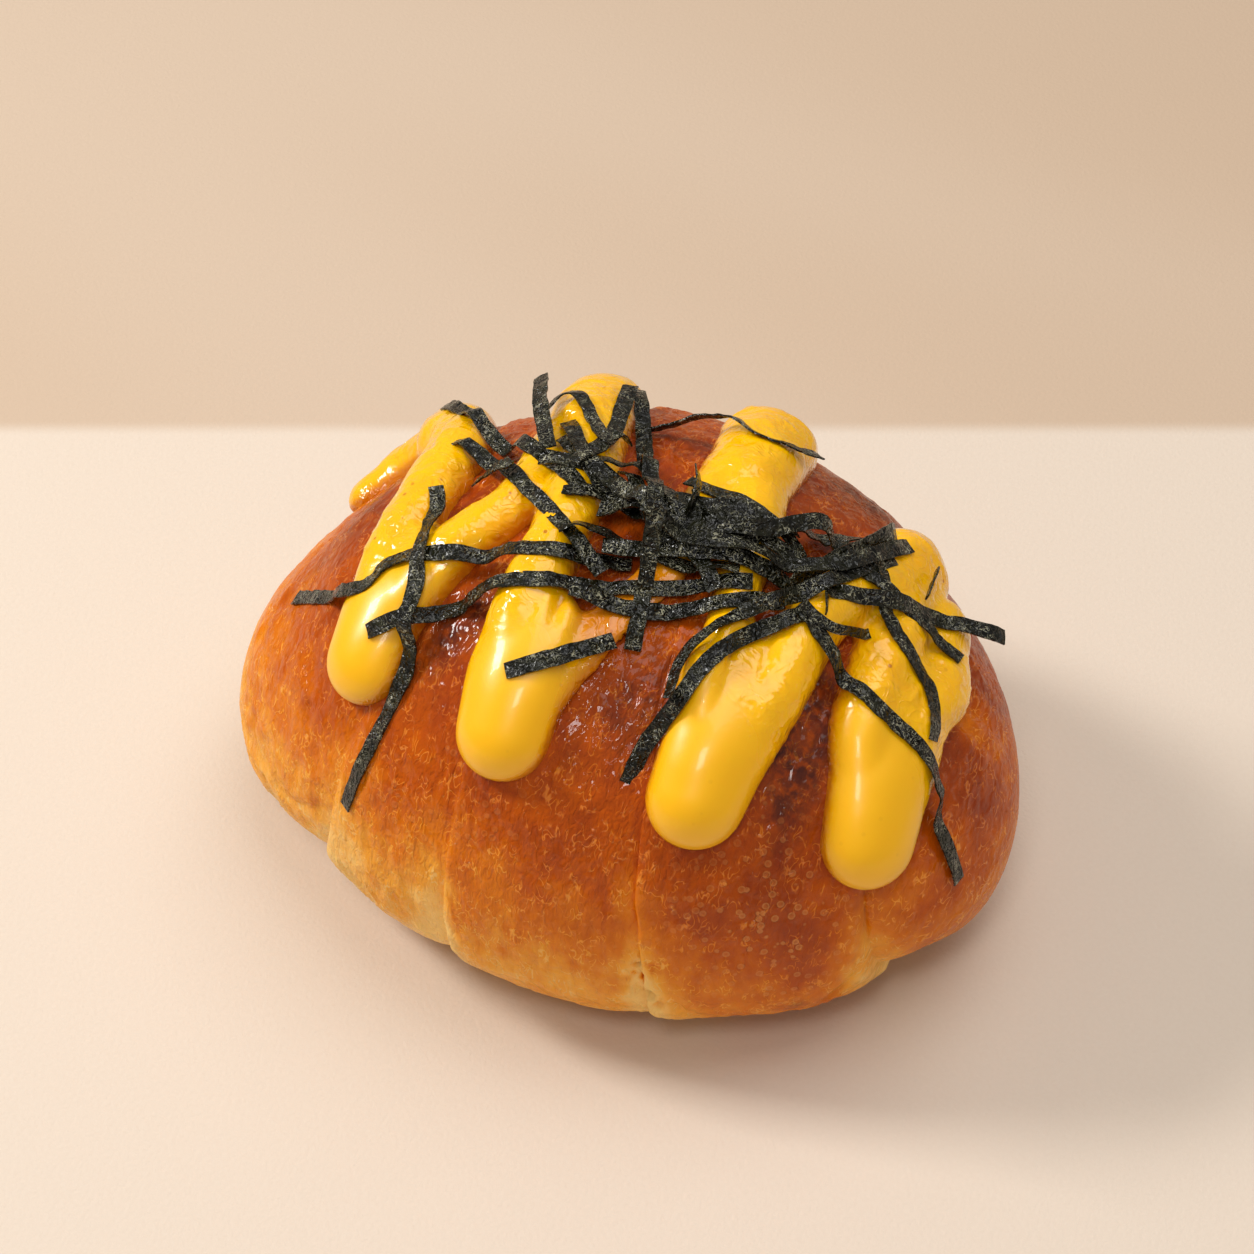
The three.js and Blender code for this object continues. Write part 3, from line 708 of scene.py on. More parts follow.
@dataclass(frozen=True)
class RollShape:
    """The roll: a superellipse section that shrinks to both ends, on an axis that droops to them."""

    half_length: float = 61.5
    half_width: float = 47.5
    height: float = 68.0
    axis_height: float = 24.0
    belly: float = 36.0
    power: float = 2.1
    taper: tuple[float, float] = (1.8, 1.9)
    droop: tuple[float, float] = (9.0, 4.0)
    forward: tuple[float, float] = (-1.5, 0.0)
    lip: float = 1.0
    lip_edge: float = 0.6
    lip_reach: float = 14.0
    groove: float = 1.7
    groove_reach: float = 3.5
    edge_width: float = 0.01
    top_share: float = 0.35
    top_sines: tuple[float, float] = (0.75, 0.1)
    seam_fade: float = 10.0
    swell_fade: float = 2.5
    search_low: float = 5.0
    search_room: float = 12.0
    halvings: int = 24
    slope_step: float = 0.4
    edges: tuple[LayerEdge, ...] = (
        LayerEdge(-30, -21, -30, 1, 2.5, 6.0, 0.9),
        LayerEdge(-6.5, -9, -13, 1, 6.0, 1.5, 0.6),
        LayerEdge(23.5, 13, 10, 1, 3.0, 4.2, 0.6, 1.0),
        LayerEdge(50.5, 41, 36, -1, 5.0, 3.0, 1.3),
    )
    swells: tuple[Swell, ...] = (
        Swell(-49, 80, 12, 45, -2.6),
        Swell(-56, 150, 8, 50, 1.8),
        Swell(-33, 205, 12, 28, -2.4),
        Swell(-5, 200, 14, 22, -1.2),
        Swell(54, 210, 9, 30, -3.4),
        Swell(33, 216, 12, 22, -1.6),
        Swell(-38, 118, 6, 30, 0.8),
        Swell(8, 100, 12, 50, 0.6),
        Swell(42, 70, 10, 40, -1.2),
        Swell(-43, 92, 6, 22, 1.6),
    )

    def axis(self, x: Array) -> tuple[Array, Array]:
        """The axis's y and z at each x: both depart from mid length by the square of x / half length."""
        square = (x / self.half_length) ** 2
        drop = np.where(x < 0, *self.droop) * square
        return np.where(x < 0, *self.forward) * square, self.axis_height - drop

    def radius(self, x: Array, turn: Array) -> Array:
        """Distance of the plain skin from the axis.

        It is sqrt(1 - |x / half length|^taper) times the superellipse's radius, plus the swells.
        """
        shrink = np.sqrt(1 - np.minimum(np.abs(x) / self.half_length, 1) ** np.where(x < 0, *self.taper))
        tall = np.where(np.sin(turn) > 0, self.height - self.axis_height, self.belly)
        across = (np.abs(np.cos(turn)) / self.half_width) ** self.power
        upright = (np.abs(np.sin(turn)) / tall) ** self.power
        section = (across + upright) ** (-1 / self.power)
        rise = sum(swell.at(x, turn) for swell in self.swells)
        return shrink * section + rise * np.minimum(self.swell_fade * shrink, 1)

    def end_fade(self, x: Array) -> Array:
        """1 along the roll, falling to 0 at its two tips."""
        return np.clip((self.half_length - np.abs(x)) / self.seam_fade, 0, 1)

    def relief(self, x: Array, turn: Array) -> Array:
        """Rise of the rolled layers: a lip that fades away beyond each edge, a groove before it."""
        rise = np.zeros(np.broadcast(x, turn).shape)
        for edge in self.edges:
            beyond = (x - edge.at(turn)) * edge.over
            far = np.maximum(beyond, 0)
            lip = self.lip * (1 - np.exp(-far / self.lip_edge)) * np.exp(-far / self.lip_reach)
            groove = self.groove * np.exp(np.minimum(beyond, 0) / self.groove_reach)
            low = self.top_share + (1 - self.top_share) * ease(np.sin(turn), *self.top_sines)
            rise += edge.soft * low * np.where(beyond > self.edge_width, lip, -groove)
        return rise * self.end_fade(x)

    def point(self, x: Array, turn: Array, radius: Array) -> Array:
        """The place at that distance from the axis."""
        y, z = self.axis(x)
        places = np.broadcast_arrays(x, y + radius * np.cos(turn), z + radius * np.sin(turn))
        return np.stack(places, axis=-1)

    def height_over(self, x: Array, y: Array) -> Array:
        """Height of the plain roll over places of the table, found by halving."""
        axis_y, axis_z = self.axis(x)
        low = np.full(x.shape, self.search_low)
        high = np.full(x.shape, self.height + self.search_room)
        for _ in range(self.halvings):
            middle = (low + high) / 2
            turn = np.arctan2(middle - axis_z, y - axis_y)
            inside = np.hypot(middle - axis_z, y - axis_y) < self.radius(x, turn)
            low = np.where(inside, middle, low)
            high = np.where(inside, high, middle)
        return low

    def normal_over(self, x: Array, y: Array) -> Array:
        """Outward direction of the plain roll over places of the table, from its slopes."""
        step = self.slope_step
        slope_x = (self.height_over(x + step, y) - self.height_over(x - step, y)) / (2 * step)
        slope_y = (self.height_over(x, y + step) - self.height_over(x, y - step)) / (2 * step)
        return unit(np.stack([-slope_x, -slope_y, np.ones_like(slope_x)], axis=-1))

    def depth_of(self, points: Array) -> Array:
        """How far points stand out of the plain skin, negative inside it."""
        x, across, up = points.T
        y, z = self.axis(x)
        turn = np.arctan2(up - z, across - y)
        return np.hypot(up - z, across - y) - self.radius(x, turn)


# ---- the bread ---------------------------------------------------------------------------------
@dataclass(frozen=True)
class Patch:
    """A darker place of the crust: its middle, its reach along and across, its heading and depth."""

    middle: tuple[float, float, float]
    along: float
    across: float
    heading: float
    depth: float

    def at(self, points: Array) -> Array:
        """Its depth at each place: a bell that is longer along the heading, measured in plan."""
        away = points - np.array(self.middle)
        angle = math.radians(self.heading)
        ahead = away[:, 0] * math.cos(angle) + away[:, 1] * math.sin(angle)
        aside = away[:, 1] * math.cos(angle) - away[:, 0] * math.sin(angle)
        rough = (ahead / self.along) ** 2 + (aside / self.across) ** 2 + (away[:, 2] / (2 * self.along)) ** 2
        return self.depth * np.exp(-rough)


@dataclass(frozen=True)
class Crease:
    """A crease pressed into a skin: the places that it runs through, its width and its depth."""

    line: tuple[tuple[float, float, float], ...]
    width: float
    depth: float
    fades: bool = True
    pale: float = 0.0

    def near(self, points: Array, width: float) -> Array:
        """How near each place is, 1 on the line.

        It is a bell of the distance from the line. Where the crease fades, it is deepest at the first
        place and gone at the last.

        Args:
            points: places, any shape ending in 3.
            width: reach of the bell.

        Returns:
            One value for each place.
        """
        stops = np.array(self.line, float)
        best = np.zeros(points.shape[:-1])
        for k, (start, end) in enumerate(zip(stops, stops[1:])):
            along = end - start
            share = np.clip((points - start) @ along / (along @ along), 0, 1)
            away = np.linalg.norm(points - (start + share[..., None] * along), axis=-1)
            left = 1 - (k + share) / (len(stops) - 1) if self.fades else 1.0
            best = np.maximum(best, left * np.exp(-((away / width) ** 2)))
        return best

    def at(self, points: Array) -> Array:
        """Its depth at each place."""
        return self.depth * self.near(points, self.width)


@dataclass(frozen=True)
class Bubble:
    """A small burst bubble: a pit with a raised rim, each a bell of the distance from its middle."""

    middle: tuple[float, float, float] = (-40.0, -14.5, 49.7)
    depth: float = 1.6
    radius: float = 0.6
    rim: float = 0.3
    rim_radius: float = 1.0
    rim_width: float = 0.4

    def at(self, points: Array) -> Array:
        """Its rise at each place."""
        away = np.linalg.norm(points - np.array(self.middle), axis=-1)
        rim = self.rim * np.exp(-(((away - self.rim_radius) / self.rim_width) ** 2))
        return rim - self.depth * np.exp(-((away / self.radius) ** 2))


@dataclass(frozen=True)
class Browning:
    """How far the crust browned: more with height and to the right, less where the dough was covered."""

    least: float = 0.02
    base: float = 0.08
    climb: float = 0.66
    climb_heights: tuple[float, float] = (-4.0, 60.0)
    places: tuple[float, ...] = (-61, -45, -28, -8, 10, 24, 45, 61)
    along: tuple[float, ...] = (-0.1, -0.08, -0.09, -0.05, 0.0, 0.1, 0.23, 0.18)
    along_heights: tuple[float, float] = (58.0, 30.0)
    clouds: tuple[Ripple, ...] = (Ripple(0.07, 9.0, 71, 2), Ripple(0.04, 2.4, 81))
    bare: float = 0.05
    bare_low: float = 0.26
    bare_heights: tuple[float, float] = (52.0, 14.0)
    torn: float = 0.24
    # How much darker the torn dough's holes are: painted shade.
    painted_hole_shade: float = 0.9
    crease_reach: float = 2.4

    def at(self, x: Array, points: Array) -> Array:
        """The browning of open crust: base + climb ease(z) + along(x) ease(z) + noise."""
        z = points[..., 2]
        level = self.base + self.climb * ease(z, *self.climb_heights)
        level += np.interp(x, self.places, self.along) * ease(z, *self.along_heights)
        return level + sum(cloud.at(points) for cloud in self.clouds)

    def less_bare(self, points: Array) -> Array:
        """How much less fully bare dough browned, most of all low down."""
        return self.bare + self.bare_low * ease(points[..., 2], *self.bare_heights)


@dataclass
class BreadRoll:
    """The baked roll: its rolled layers, the fine relief of its skin and where it browned."""

    shape: RollShape
    finish: CrustFinish = field(default_factory=CrustFinish)
    spans: tuple[int, ...] = (56, 60, 76, 70, 50)
    spokes: int = 312
    seen_spokes: float = 0.92
    seen_turns: tuple[float, float] = (-38.0, 218.0)
    bunching: float = 0.5
    base_round: float = 2.2
    base_tuck: float = 4.6
    base_tuck_height: float = 3.8
    lumps: tuple[Ripple, ...] = (Ripple(0.45, 13.0, 11, 2), Ripple(0.225, 5.0, 15))
    warp: Ripple = Ripple(1.4, 4.0, 21)
    worms: Ripple = Ripple(2.6, (1.7, 4.4, 4.4), 31)
    worm_rise: float = 0.55
    worm_share: float = 0.6
    worm_groups: Ripple = Ripple(0.6, 9.0, 41)
    worm_right: float = 0.5
    worm_fade_x: tuple[float, float] = (-18.0, -34.0)
    pores: Strewn = Strewn(-0.5, 5.0, 61, 0.5, 0.15)
    bubble: Bubble = field(default_factory=Bubble)
    ragged: Ripple = Ripple(0.35, 4.0, 201, 2)
    tear_shift: float = 0.3
    tear_reach: float = 2.0
    tear_top: tuple[float, float] = (32.0, 20.0)
    tear_base: tuple[float, float] = (0.5, 4.0)
    tear_ripple: Ripple = Ripple(0.9, 1.9, 65, 2)
    tear_sink: float = 0.2
    tear_depth: float = 3.0
    tear_holes: Strewn = Strewn(1.0, 2.6, 67, 1.7, 0.75)
    blister_rise: float = 0.32
    big_blisters: Strewn = Strewn(1.0, 2.3, 51, 1.3, 0.6)
    small_blisters: Strewn = Strewn(0.7, 1.3, 56, 0.7, 0.5)
    blister_groups: Ripple = Ripple(1.0, 9.0, 58, 2)
    blister_group_share: float = 0.35
    blister_group_edge: float = 0.5
    browned: Browning = field(default_factory=Browning)
    scorches: tuple[Patch, ...] = (
        Patch((-14.5, -24, 60), 9, 4.2, 62, 0.95),
        Patch((14, -25, 60), 9, 4.6, 75, 0.8),
        Patch((36, -18, 54), 11, 3.8, 96, 1.8),
        Patch((-40.5, 2, 50), 9, 5, 80, 0.35),
        Patch((22.3, 30, 55), 9, 6, 0, 0.7),
        Patch((1.8, 21, 65), 8, 6, 0, 0.6),
        Patch((-12, 10, 66), 9, 6, 20, 0.5),
        Patch((20, 12, 66), 12, 6, 10, 0.5),
        Patch((52.6, -2, 43), 7, 5, 60, 0.3),
        Patch((30, 34, 48), 12, 6, 160, 0.5),
        Patch((-44, -6, 48), 9, 4, 70, 0.4),
        Patch((42.7, -32.1, 14.4), 1.6, 0.9, 20, 0.6),
    )
    creases: tuple[Crease, ...] = (
        Crease(
            ((46, 2, 51), (48.8, 6, 46.5), (52.8, 9.3, 41.2), (55.9, 11, 35.5), (59, 12, 27)),
            1.3, 1.8, pale=0.3,
        ),
        Crease(((46, -1.5, 50), (51.3, 4.4, 43.9), (56.5, 6.5, 36.4), (60, 7.4, 28)), 1.2, 1.4, pale=0.3),
        Crease(((48.3, -24.3, 34.2), (49.6, -25.2, 27), (48.9, -26.9, 18.9), (46, -29, 12)), 0.9, 1.2, False),
        Crease(((-28.5, -38.6, 28), (-31.2, -37.1, 20), (-32, -33, 10)), 0.8, 1.0, False),
        Crease(((-34, -37.4, 25), (-39, -35.1, 21.1), (-45, -31, 20)), 0.7, 0.7),
        Crease(((28.2, -42.1, 17), (29.8, -40.3, 12), (30, -36, 4)), 0.8, 1.4, False),
    )
    blister_middle: tuple[float, float, float] = (38.0, -34.0, 33.0)
    blister_reach: float = 13.0
    scorch_share: float = 0.75
    scorch_ripple: Ripple = Ripple(0.35, 2.6, 91, 2)
    shine_heights: tuple[float, float] = (14.0, 46.0)

    def grid(self) -> tuple[Array, Array]:
        """Places on the skin: x and turn of each crossing.

        Columns follow the layer edges and crowd towards them: between two edges the share of the way is
        e - b sin(2 pi e) / (2 pi) for even shares e. Towards the tips it is a cosine instead. Most spokes
        are spread over the turns that show, the others over the underside.

        Returns:
            Arrays of columns by spokes.
        """
        low, high = self.seen_turns
        shares = np.arange(self.spokes) / self.spokes
        turn = np.radians(np.interp(shares, (0, self.seen_spokes, 1), (low, high, low + 360)))
        half = np.full_like(turn, self.shape.half_length)
        lines = [-half, *(edge.at(turn) for edge in self.shape.edges), half]
        columns = []
        for k, count in enumerate(self.spans):
            even = np.arange(1 if k == 0 else 0, count) / count
            share = even - self.bunching * np.sin(2 * math.pi * even) / (2 * math.pi)
            if k == 0:
                share = 1 - np.cos(even * math.pi / 2)
            if k == len(self.spans) - 1:
                share = np.sin(even * math.pi / 2)
            columns.append(lines[k] + share[:, None] * (lines[k + 1] - lines[k]))
        x = np.vstack(columns)
        return x, np.broadcast_to(turn, x.shape)

    def bare_dough(self, x: Array, turn: Array, points: Array) -> tuple[Array, Array]:
        """Where the covered dough shows.

        Args:
            x: places along the roll.
            turn: their turns.
            points: the same places in space.

        Returns:
            How bare it is beside the nearest edge, and how torn, both 0 to 1.
        """
        bare = np.zeros(x.shape)
        torn = np.zeros(x.shape)
        ragged = 1 + self.ragged.at(points)
        for edge in self.shape.edges:
            beyond = (x - edge.at(turn)) * edge.over * ragged
            reach = np.where(beyond < 0, edge.under, edge.past)
            bare = np.maximum(bare, np.exp(-((beyond / reach) ** 2)))
            away = (beyond + self.tear_shift) / self.tear_reach
            torn = np.maximum(torn, edge.torn * np.exp(-(away**2)))
        low = ease(points[..., 2], *self.tear_top) * ease(points[..., 2], *self.tear_base)
        return bare * self.shape.end_fade(x), torn * low

    def crowd(self, points: Array) -> Array:
        """How thick the blisters stand, 0 to 1: patchy, and thickest on the front below the cream."""
        away = np.linalg.norm(points - np.array(self.blister_middle), axis=-1)
        groups = ease(self.blister_groups.at(points), 0.0, self.blister_group_edge)
        thick = self.blister_group_share * groups + np.exp(-((away / self.blister_reach) ** 2))
        return np.clip(thick, 0, 1)

    def blisters(self, points: Array) -> Array:
        """Height, 0 to 1, of the blisters: strewn domes where they stand thick."""
        highest = np.maximum(self.big_blisters.at(points), self.small_blisters.at(points))
        return self.crowd(points) * highest

    def fine_relief(self, x: Array, plain: Array, torn: Array) -> Array:
        """Lumps, stretched worm-like wrinkles that run round the roll, blisters, pores and tears.

        Lumps are noise. Wrinkles are 1 - |noise| on cells that are long round the roll, warped along it by
        other noise, and stand out most at the left end. Pores are strewn pits, and torn dough has noise and
        deep holes. Near the table the skin tucks in by tuck exp(-z / height).

        Args:
            x: places along the roll.
            plain: the same places in space.
            torn: how torn each place is.

        Returns:
            The rise at each place.
        """
        warped = plain + self.warp.at(plain)[..., None] * ALONG_X
        ridges = 1 - np.abs(self.worms.at(warped))
        strength = self.worm_share + self.worm_groups.at(plain)
        left = ease(x, *self.worm_fade_x)
        ends = self.worm_right + (1 - self.worm_right) * left
        holes = self.tear_depth * self.tear_holes.at(plain)
        tears = torn * (self.tear_ripple.at(plain) - self.tear_sink - holes)
        rise = sum(lump.at(plain) for lump in self.lumps) + self.worm_rise * ends * strength * ridges
        rise += self.blister_rise * self.blisters(plain) + self.pores.at(plain)
        rise -= sum(crease.at(plain) for crease in self.creases)
        rise -= self.base_tuck * np.exp(-np.maximum(plain[..., 2], 0) / self.base_tuck_height)
        return rise * np.sqrt(self.shape.end_fade(x)) + self.bubble.at(plain) + tears

    def browning(self, x: Array, points: Array, bare: Array, torn: Array) -> Array:
        """How far each place browned, 0 pale to 1 deep.

        It is the browning of its height and place, less in bare dough beside an edge and in torn dough,
        though darker in its holes, as painted shade, and less along the pale creases.

        Args:
            x: places along the roll.
            points: the same places in space.
            bare: how bare the dough is.
            torn: how torn it is.

        Returns:
            One value for each place.
        """
        browned = self.browned
        level = browned.at(x, points) - bare * browned.less_bare(points)
        # Torn dough is paler, but its holes are darker: painted shade.
        level -= torn * (browned.torn - browned.painted_hole_shade * self.tear_holes.at(points))
        level -= sum(crease.pale * crease.near(points, browned.crease_reach) for crease in self.creases)
        return np.maximum(level, browned.least)

    def build(self) -> bpy.types.Object:
        """Makes the skin, its stored fields and its material."""
        shape = self.shape
        x, turn = self.grid()
        radius = shape.radius(x, turn) + shape.relief(x, turn)
        plain = shape.point(x, turn, radius)
        bare, torn = self.bare_dough(x, turn, plain)
        points = shape.point(x, turn, radius + self.fine_relief(x, plain, torn))
        z = points[..., 2]
        points[..., 2] = (z + np.sqrt(z**2 + self.base_round**2)) / 2
        zero = np.zeros(1)
        tips = [shape.point(zero + side * shape.half_length, zero, zero) for side in (-1, 1)]
        skin = Skin.of_rings(points, tips[0], tips[1]).outward()
        piece = skin.to_object("bread_roll_skin")

        bake = self.browning(x, points, bare, torn)
        flat = skin.points
        scorch = np.clip(sum(patch.at(flat) for patch in self.scorches), 0, 1)
        scorch *= self.scorch_share + self.scorch_ripple.at(flat)
        store(piece, "bake", np.concatenate([bake[0, :1], bake.ravel(), bake[-1, :1]]))
        store(piece, "spot", self.crowd(flat))
        store(piece, "scorch", np.clip(scorch, 0, 1))
        store(piece, "shine", ease(flat[:, 2], *self.shine_heights))
        piece.data.materials.append(self.finish.material())
        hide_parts("bread_roll")
        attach(piece, "root")
        log.info("bread roll: %d faces", len(piece.data.polygons))
        return piece


# ---- the cream ---------------------------------------------------------------------------------
# The stops of one stretch of bead, from its tip on; each is x, y, half width and height.
Bead = tuple[tuple[float, float, float, float], ...]


@dataclass
class CreamZigzag:
    """The bead of cream: runs and loops melted into one body, smooth at the front, wrinkled behind."""

    shape: RollShape
    finish: CreamFinish = field(default_factory=CreamFinish)
    seat: float = 0.6
    run_end: float = 0.75
    step: float = 1.2
    sides: int = 28
    cap_rings: int = 8
    voxel: float = 0.56
    settling: float = 0.5
    smoothing: int = 9
    front_loops: tuple[int, ...] = (2, 4, 6, 8)
    calm_reach: tuple[float, float] = (13.0, 5.0)
    calm_shape: tuple[float, float, float] = (1.0, 0.8, 0.0)
    patchy_share: float = 0.6
    patchy: Ripple = Ripple(0.5, 7.0, 111, 2)
    warps: tuple[Ripple, ...] = (Ripple(1.4, 3.5, 121), Ripple(1.4, 3.5, 122), Ripple(1.4, 3.5, 123))
    folds: Ripple = Ripple(3.4, 3.6, 131)
    fold_rise: float = 0.3
    waves: Ripple = Ripple(0.42, 5.0, 141)
    thin_depths: tuple[float, float] = (3.6, 1.2)
    loops: tuple[Bead, ...] = (
        ((-50.5, 13, 3.6, 3.0), (-49, 16, 4, 3.4)),
        ((-39, 21.5, 6.4, 5.6), (-37, 17, 6.2, 5.4)),
        ((-26.7, -28.8, 6.6, 5.6), (-26.8, -22, 7.4, 5.2), (-26.2, -16, 7.8, 4.0)),
        ((-15.6, 24, 6.8, 5.8), (-13.8, 15, 6.4, 5.4)),
        ((-1.8, -35, 7.0, 5.9), (-2.5, -29, 7.5, 5.5), (-3.4, -22, 6.8, 4.2)),
        ((10, 26.5, 7.6, 6.2), (12.5, 14, 6.6, 5.4)),
        ((25.8, -31.4, 7.1, 5.9), (26.2, -24, 7.9, 5.5), (26.8, -17, 8.4, 4.2)),
        ((35.6, 18.5, 7.2, 6), (36, 9, 6, 5)),
        ((47.3, -20.6, 7.2, 5.7), (46.2, -15, 8.0, 5.4), (45.0, -9, 8.6, 4.8), (44, -2, 8.4, 4.8)),
        ((43, 13, 5, 5), (44, 10, 5.4, 5)),
    )
    runs: tuple[Bead, ...] = (
        ((-45.5, 19, 4.6, 4.4),),
        ((-31.6, 9, 5.2, 5.2), (-30, -5, 4.9, 5), (-29.2, -16, 4.9, 5)),
        ((-22.6, -18, 4.8, 4.6), (-18.8, -11, 4.3, 4.4), (-15.3, -5, 3.9, 4.2), (-14.6, 3, 4.2, 4.2)),
        ((-8.2, 4, 4.8, 5), (-6.4, -9, 4.5, 5), (-5.8, -17, 4.7, 5), (-5.2, -23, 4.9, 5)),
        ((1.6, -28, 4.6, 3.0), (5.0, -21, 3.6, 0.9), (8.5, -13, 3.2, 0.5), (10, -2, 3.8, 2.4)),
        ((17.4, 2, 4.6, 4.6), (19.8, -7, 3.3, 4), (21.6, -14, 3.9, 4.6), (22.2, -20, 4.7, 5)),
        ((29.6, -17, 5.0, 5.2), (29.8, -8, 4.8, 5.2), (30.6, 0, 4.6, 5), (32.8, 9, 5.2, 5.2)),
        ((39, 5, 5.4, 5.4), (40.8, -6, 5, 5.2), (42, -12, 5, 5)),
        ((47.4, -11, 4.9, 5), (46.2, -4, 4.8, 5.2), (46.8, 4, 5.2, 5.4)),
    )
    creases: tuple[Crease, ...] = (
        Crease(((-25, -13, 64), (-24, -27, 57)), 1.0, 1.4),
        Crease(((-0.6, -18, 70), (0.6, -31, 63)), 1.0, 1.4),
        Crease(((24.8, -14, 68), (25.2, -27, 61)), 1.0, 1.6),
        Crease(((44.4, -5, 56), (46.4, -17, 50)), 1.1, 1.2),
        Crease(((-34, 4, 62), (-38, 18, 58)), 1.2, 1.2),
    )

    def stretch(self, stops: Array) -> Skin:
        """One stretch of bead: an oval section carried over the crust, with domed ends.

        At angle a the section's point is centre + side * half width * cos a + up * height * sin a. In a
        dome the centre moves on by the half width times sin b while both sizes shrink by cos b.

        Args:
            stops: rows of x, y, half width and height.

        Returns:
            A closed skin.
        """
        run = smooth_run(stops, self.step, places=2)
        x, y, wide, tall = run.T
        up = self.shape.normal_over(x, y)
        centre = np.stack([x, y, self.shape.height_over(x, y)], axis=-1) + self.seat * up
        side = unit(np.cross(np.gradient(centre, axis=0), up))
        along = np.cross(up, side)
        bend = np.arange(1, self.cap_rings) / self.cap_rings * math.pi / 2
        last = len(run) - 1
        pick = np.concatenate([np.zeros(len(bend), int), np.arange(len(run)), np.full(len(bend), last)])
        shift = np.concatenate([-np.sin(bend[::-1]), np.zeros(len(run)), np.sin(bend)]) * wide[pick]
        shrink = np.concatenate([np.cos(bend[::-1]), np.ones(len(run)), np.cos(bend)])
        angle = 2 * math.pi * np.arange(self.sides) / self.sides
        across = (wide[pick] * shrink)[:, None, None] * np.cos(angle)[None, :, None] * side[pick, None]
        upward = (tall[pick] * shrink)[:, None, None] * np.sin(angle)[None, :, None] * up[pick, None]
        rings = (centre[pick] + shift[:, None] * along[pick])[:, None] + across + upward
        ends = [centre[k] + way * wide[k] * along[k] for k, way in ((0, -1), (-1, 1))]
        return Skin.of_rings(rings, ends[0][None], ends[1][None]).outward()

    def stretches(self) -> list[Skin]:
        """Every run, slimmed where it enters its two loops, and every loop."""
        slim = np.array([1, 1, self.run_end, self.run_end])
        made = []
        for k, run in enumerate(self.runs):
            ends = [np.array(self.loops[k + i][0]) * slim for i in (0, 1)]
            made.append(self.stretch(np.vstack([ends[0], np.array(run), ends[1]])))
        made += [self.stretch(np.array(loop, float)) for loop in self.loops]
        return made

    def melted(self) -> bpy.types.Object:
        """All stretches as one body: joined by voxels, then smoothed."""
        rough = Skin.joined(self.stretches()).to_object("cream_rough")
        melt = rough.modifiers.new("melt", "REMESH")
        melt.mode = "VOXEL"
        melt.voxel_size = self.voxel * MM
        settle = rough.modifiers.new("settle", "SMOOTH")
        settle.factor = self.settling
        settle.iterations = self.smoothing
        graph = bpy.context.evaluated_depsgraph_get()
        mesh = bpy.data.meshes.new_from_object(rough.evaluated_get(graph))
        mesh.name = "cream_zigzag_skin"
        piece = bpy.data.objects.new("cream_zigzag_skin", mesh)
        bpy.context.scene.collection.objects.link(piece)
        bpy.data.objects.remove(rough)
        return piece

    def skin_share(self, points: Array) -> Array:
        """How wrinkled each place is, 0 to 1: nothing near the front tips, patchy elsewhere."""
        calm = np.zeros(len(points))
        for k in self.front_loops:
            tip = np.array([*self.loops[k][0][:2], 0.0])
            away = np.linalg.norm((points - tip) * self.calm_shape, axis=1)
            calm = np.maximum(calm, ease(away, *self.calm_reach))
        return np.clip((1 - calm) * (self.patchy_share + self.patchy.at(points)), 0, 1)

    def build(self) -> bpy.types.Object:
        """Melts the bead, presses creases and wrinkles into it and gives it its material.

        Wrinkles are ridges, 1 - |noise| where that is above 0, on warped places; waves are broader noise.
        """
        piece = self.melted()
        points = points_of(piece)
        skin = self.skin_share(points)
        warped = points + np.stack([warp.at(points) for warp in self.warps], axis=-1)
        folds = np.clip(1 - np.abs(self.folds.at(warped)), 0, 1)
        rise = skin * (self.fold_rise * folds + self.waves.at(warped))
        rise -= sum(crease.at(points) for crease in self.creases)
        points += rise[:, None] * normals_of(piece)
        piece.data.vertices.foreach_set("co", (points * MM).ravel())
        piece.data.polygons.foreach_set("use_smooth", np.ones(len(piece.data.polygons), bool))
        piece.data.update()
        thin = ease(self.shape.depth_of(points), *self.thin_depths)
        store(piece, "skin", np.maximum(skin, thin))
        store(piece, "thin", thin)
        piece.data.materials.append(self.finish.material())
        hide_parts("cream_zigzag")
        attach(piece, "root")
        log.info("cream: %d faces", len(piece.data.polygons))
        return piece


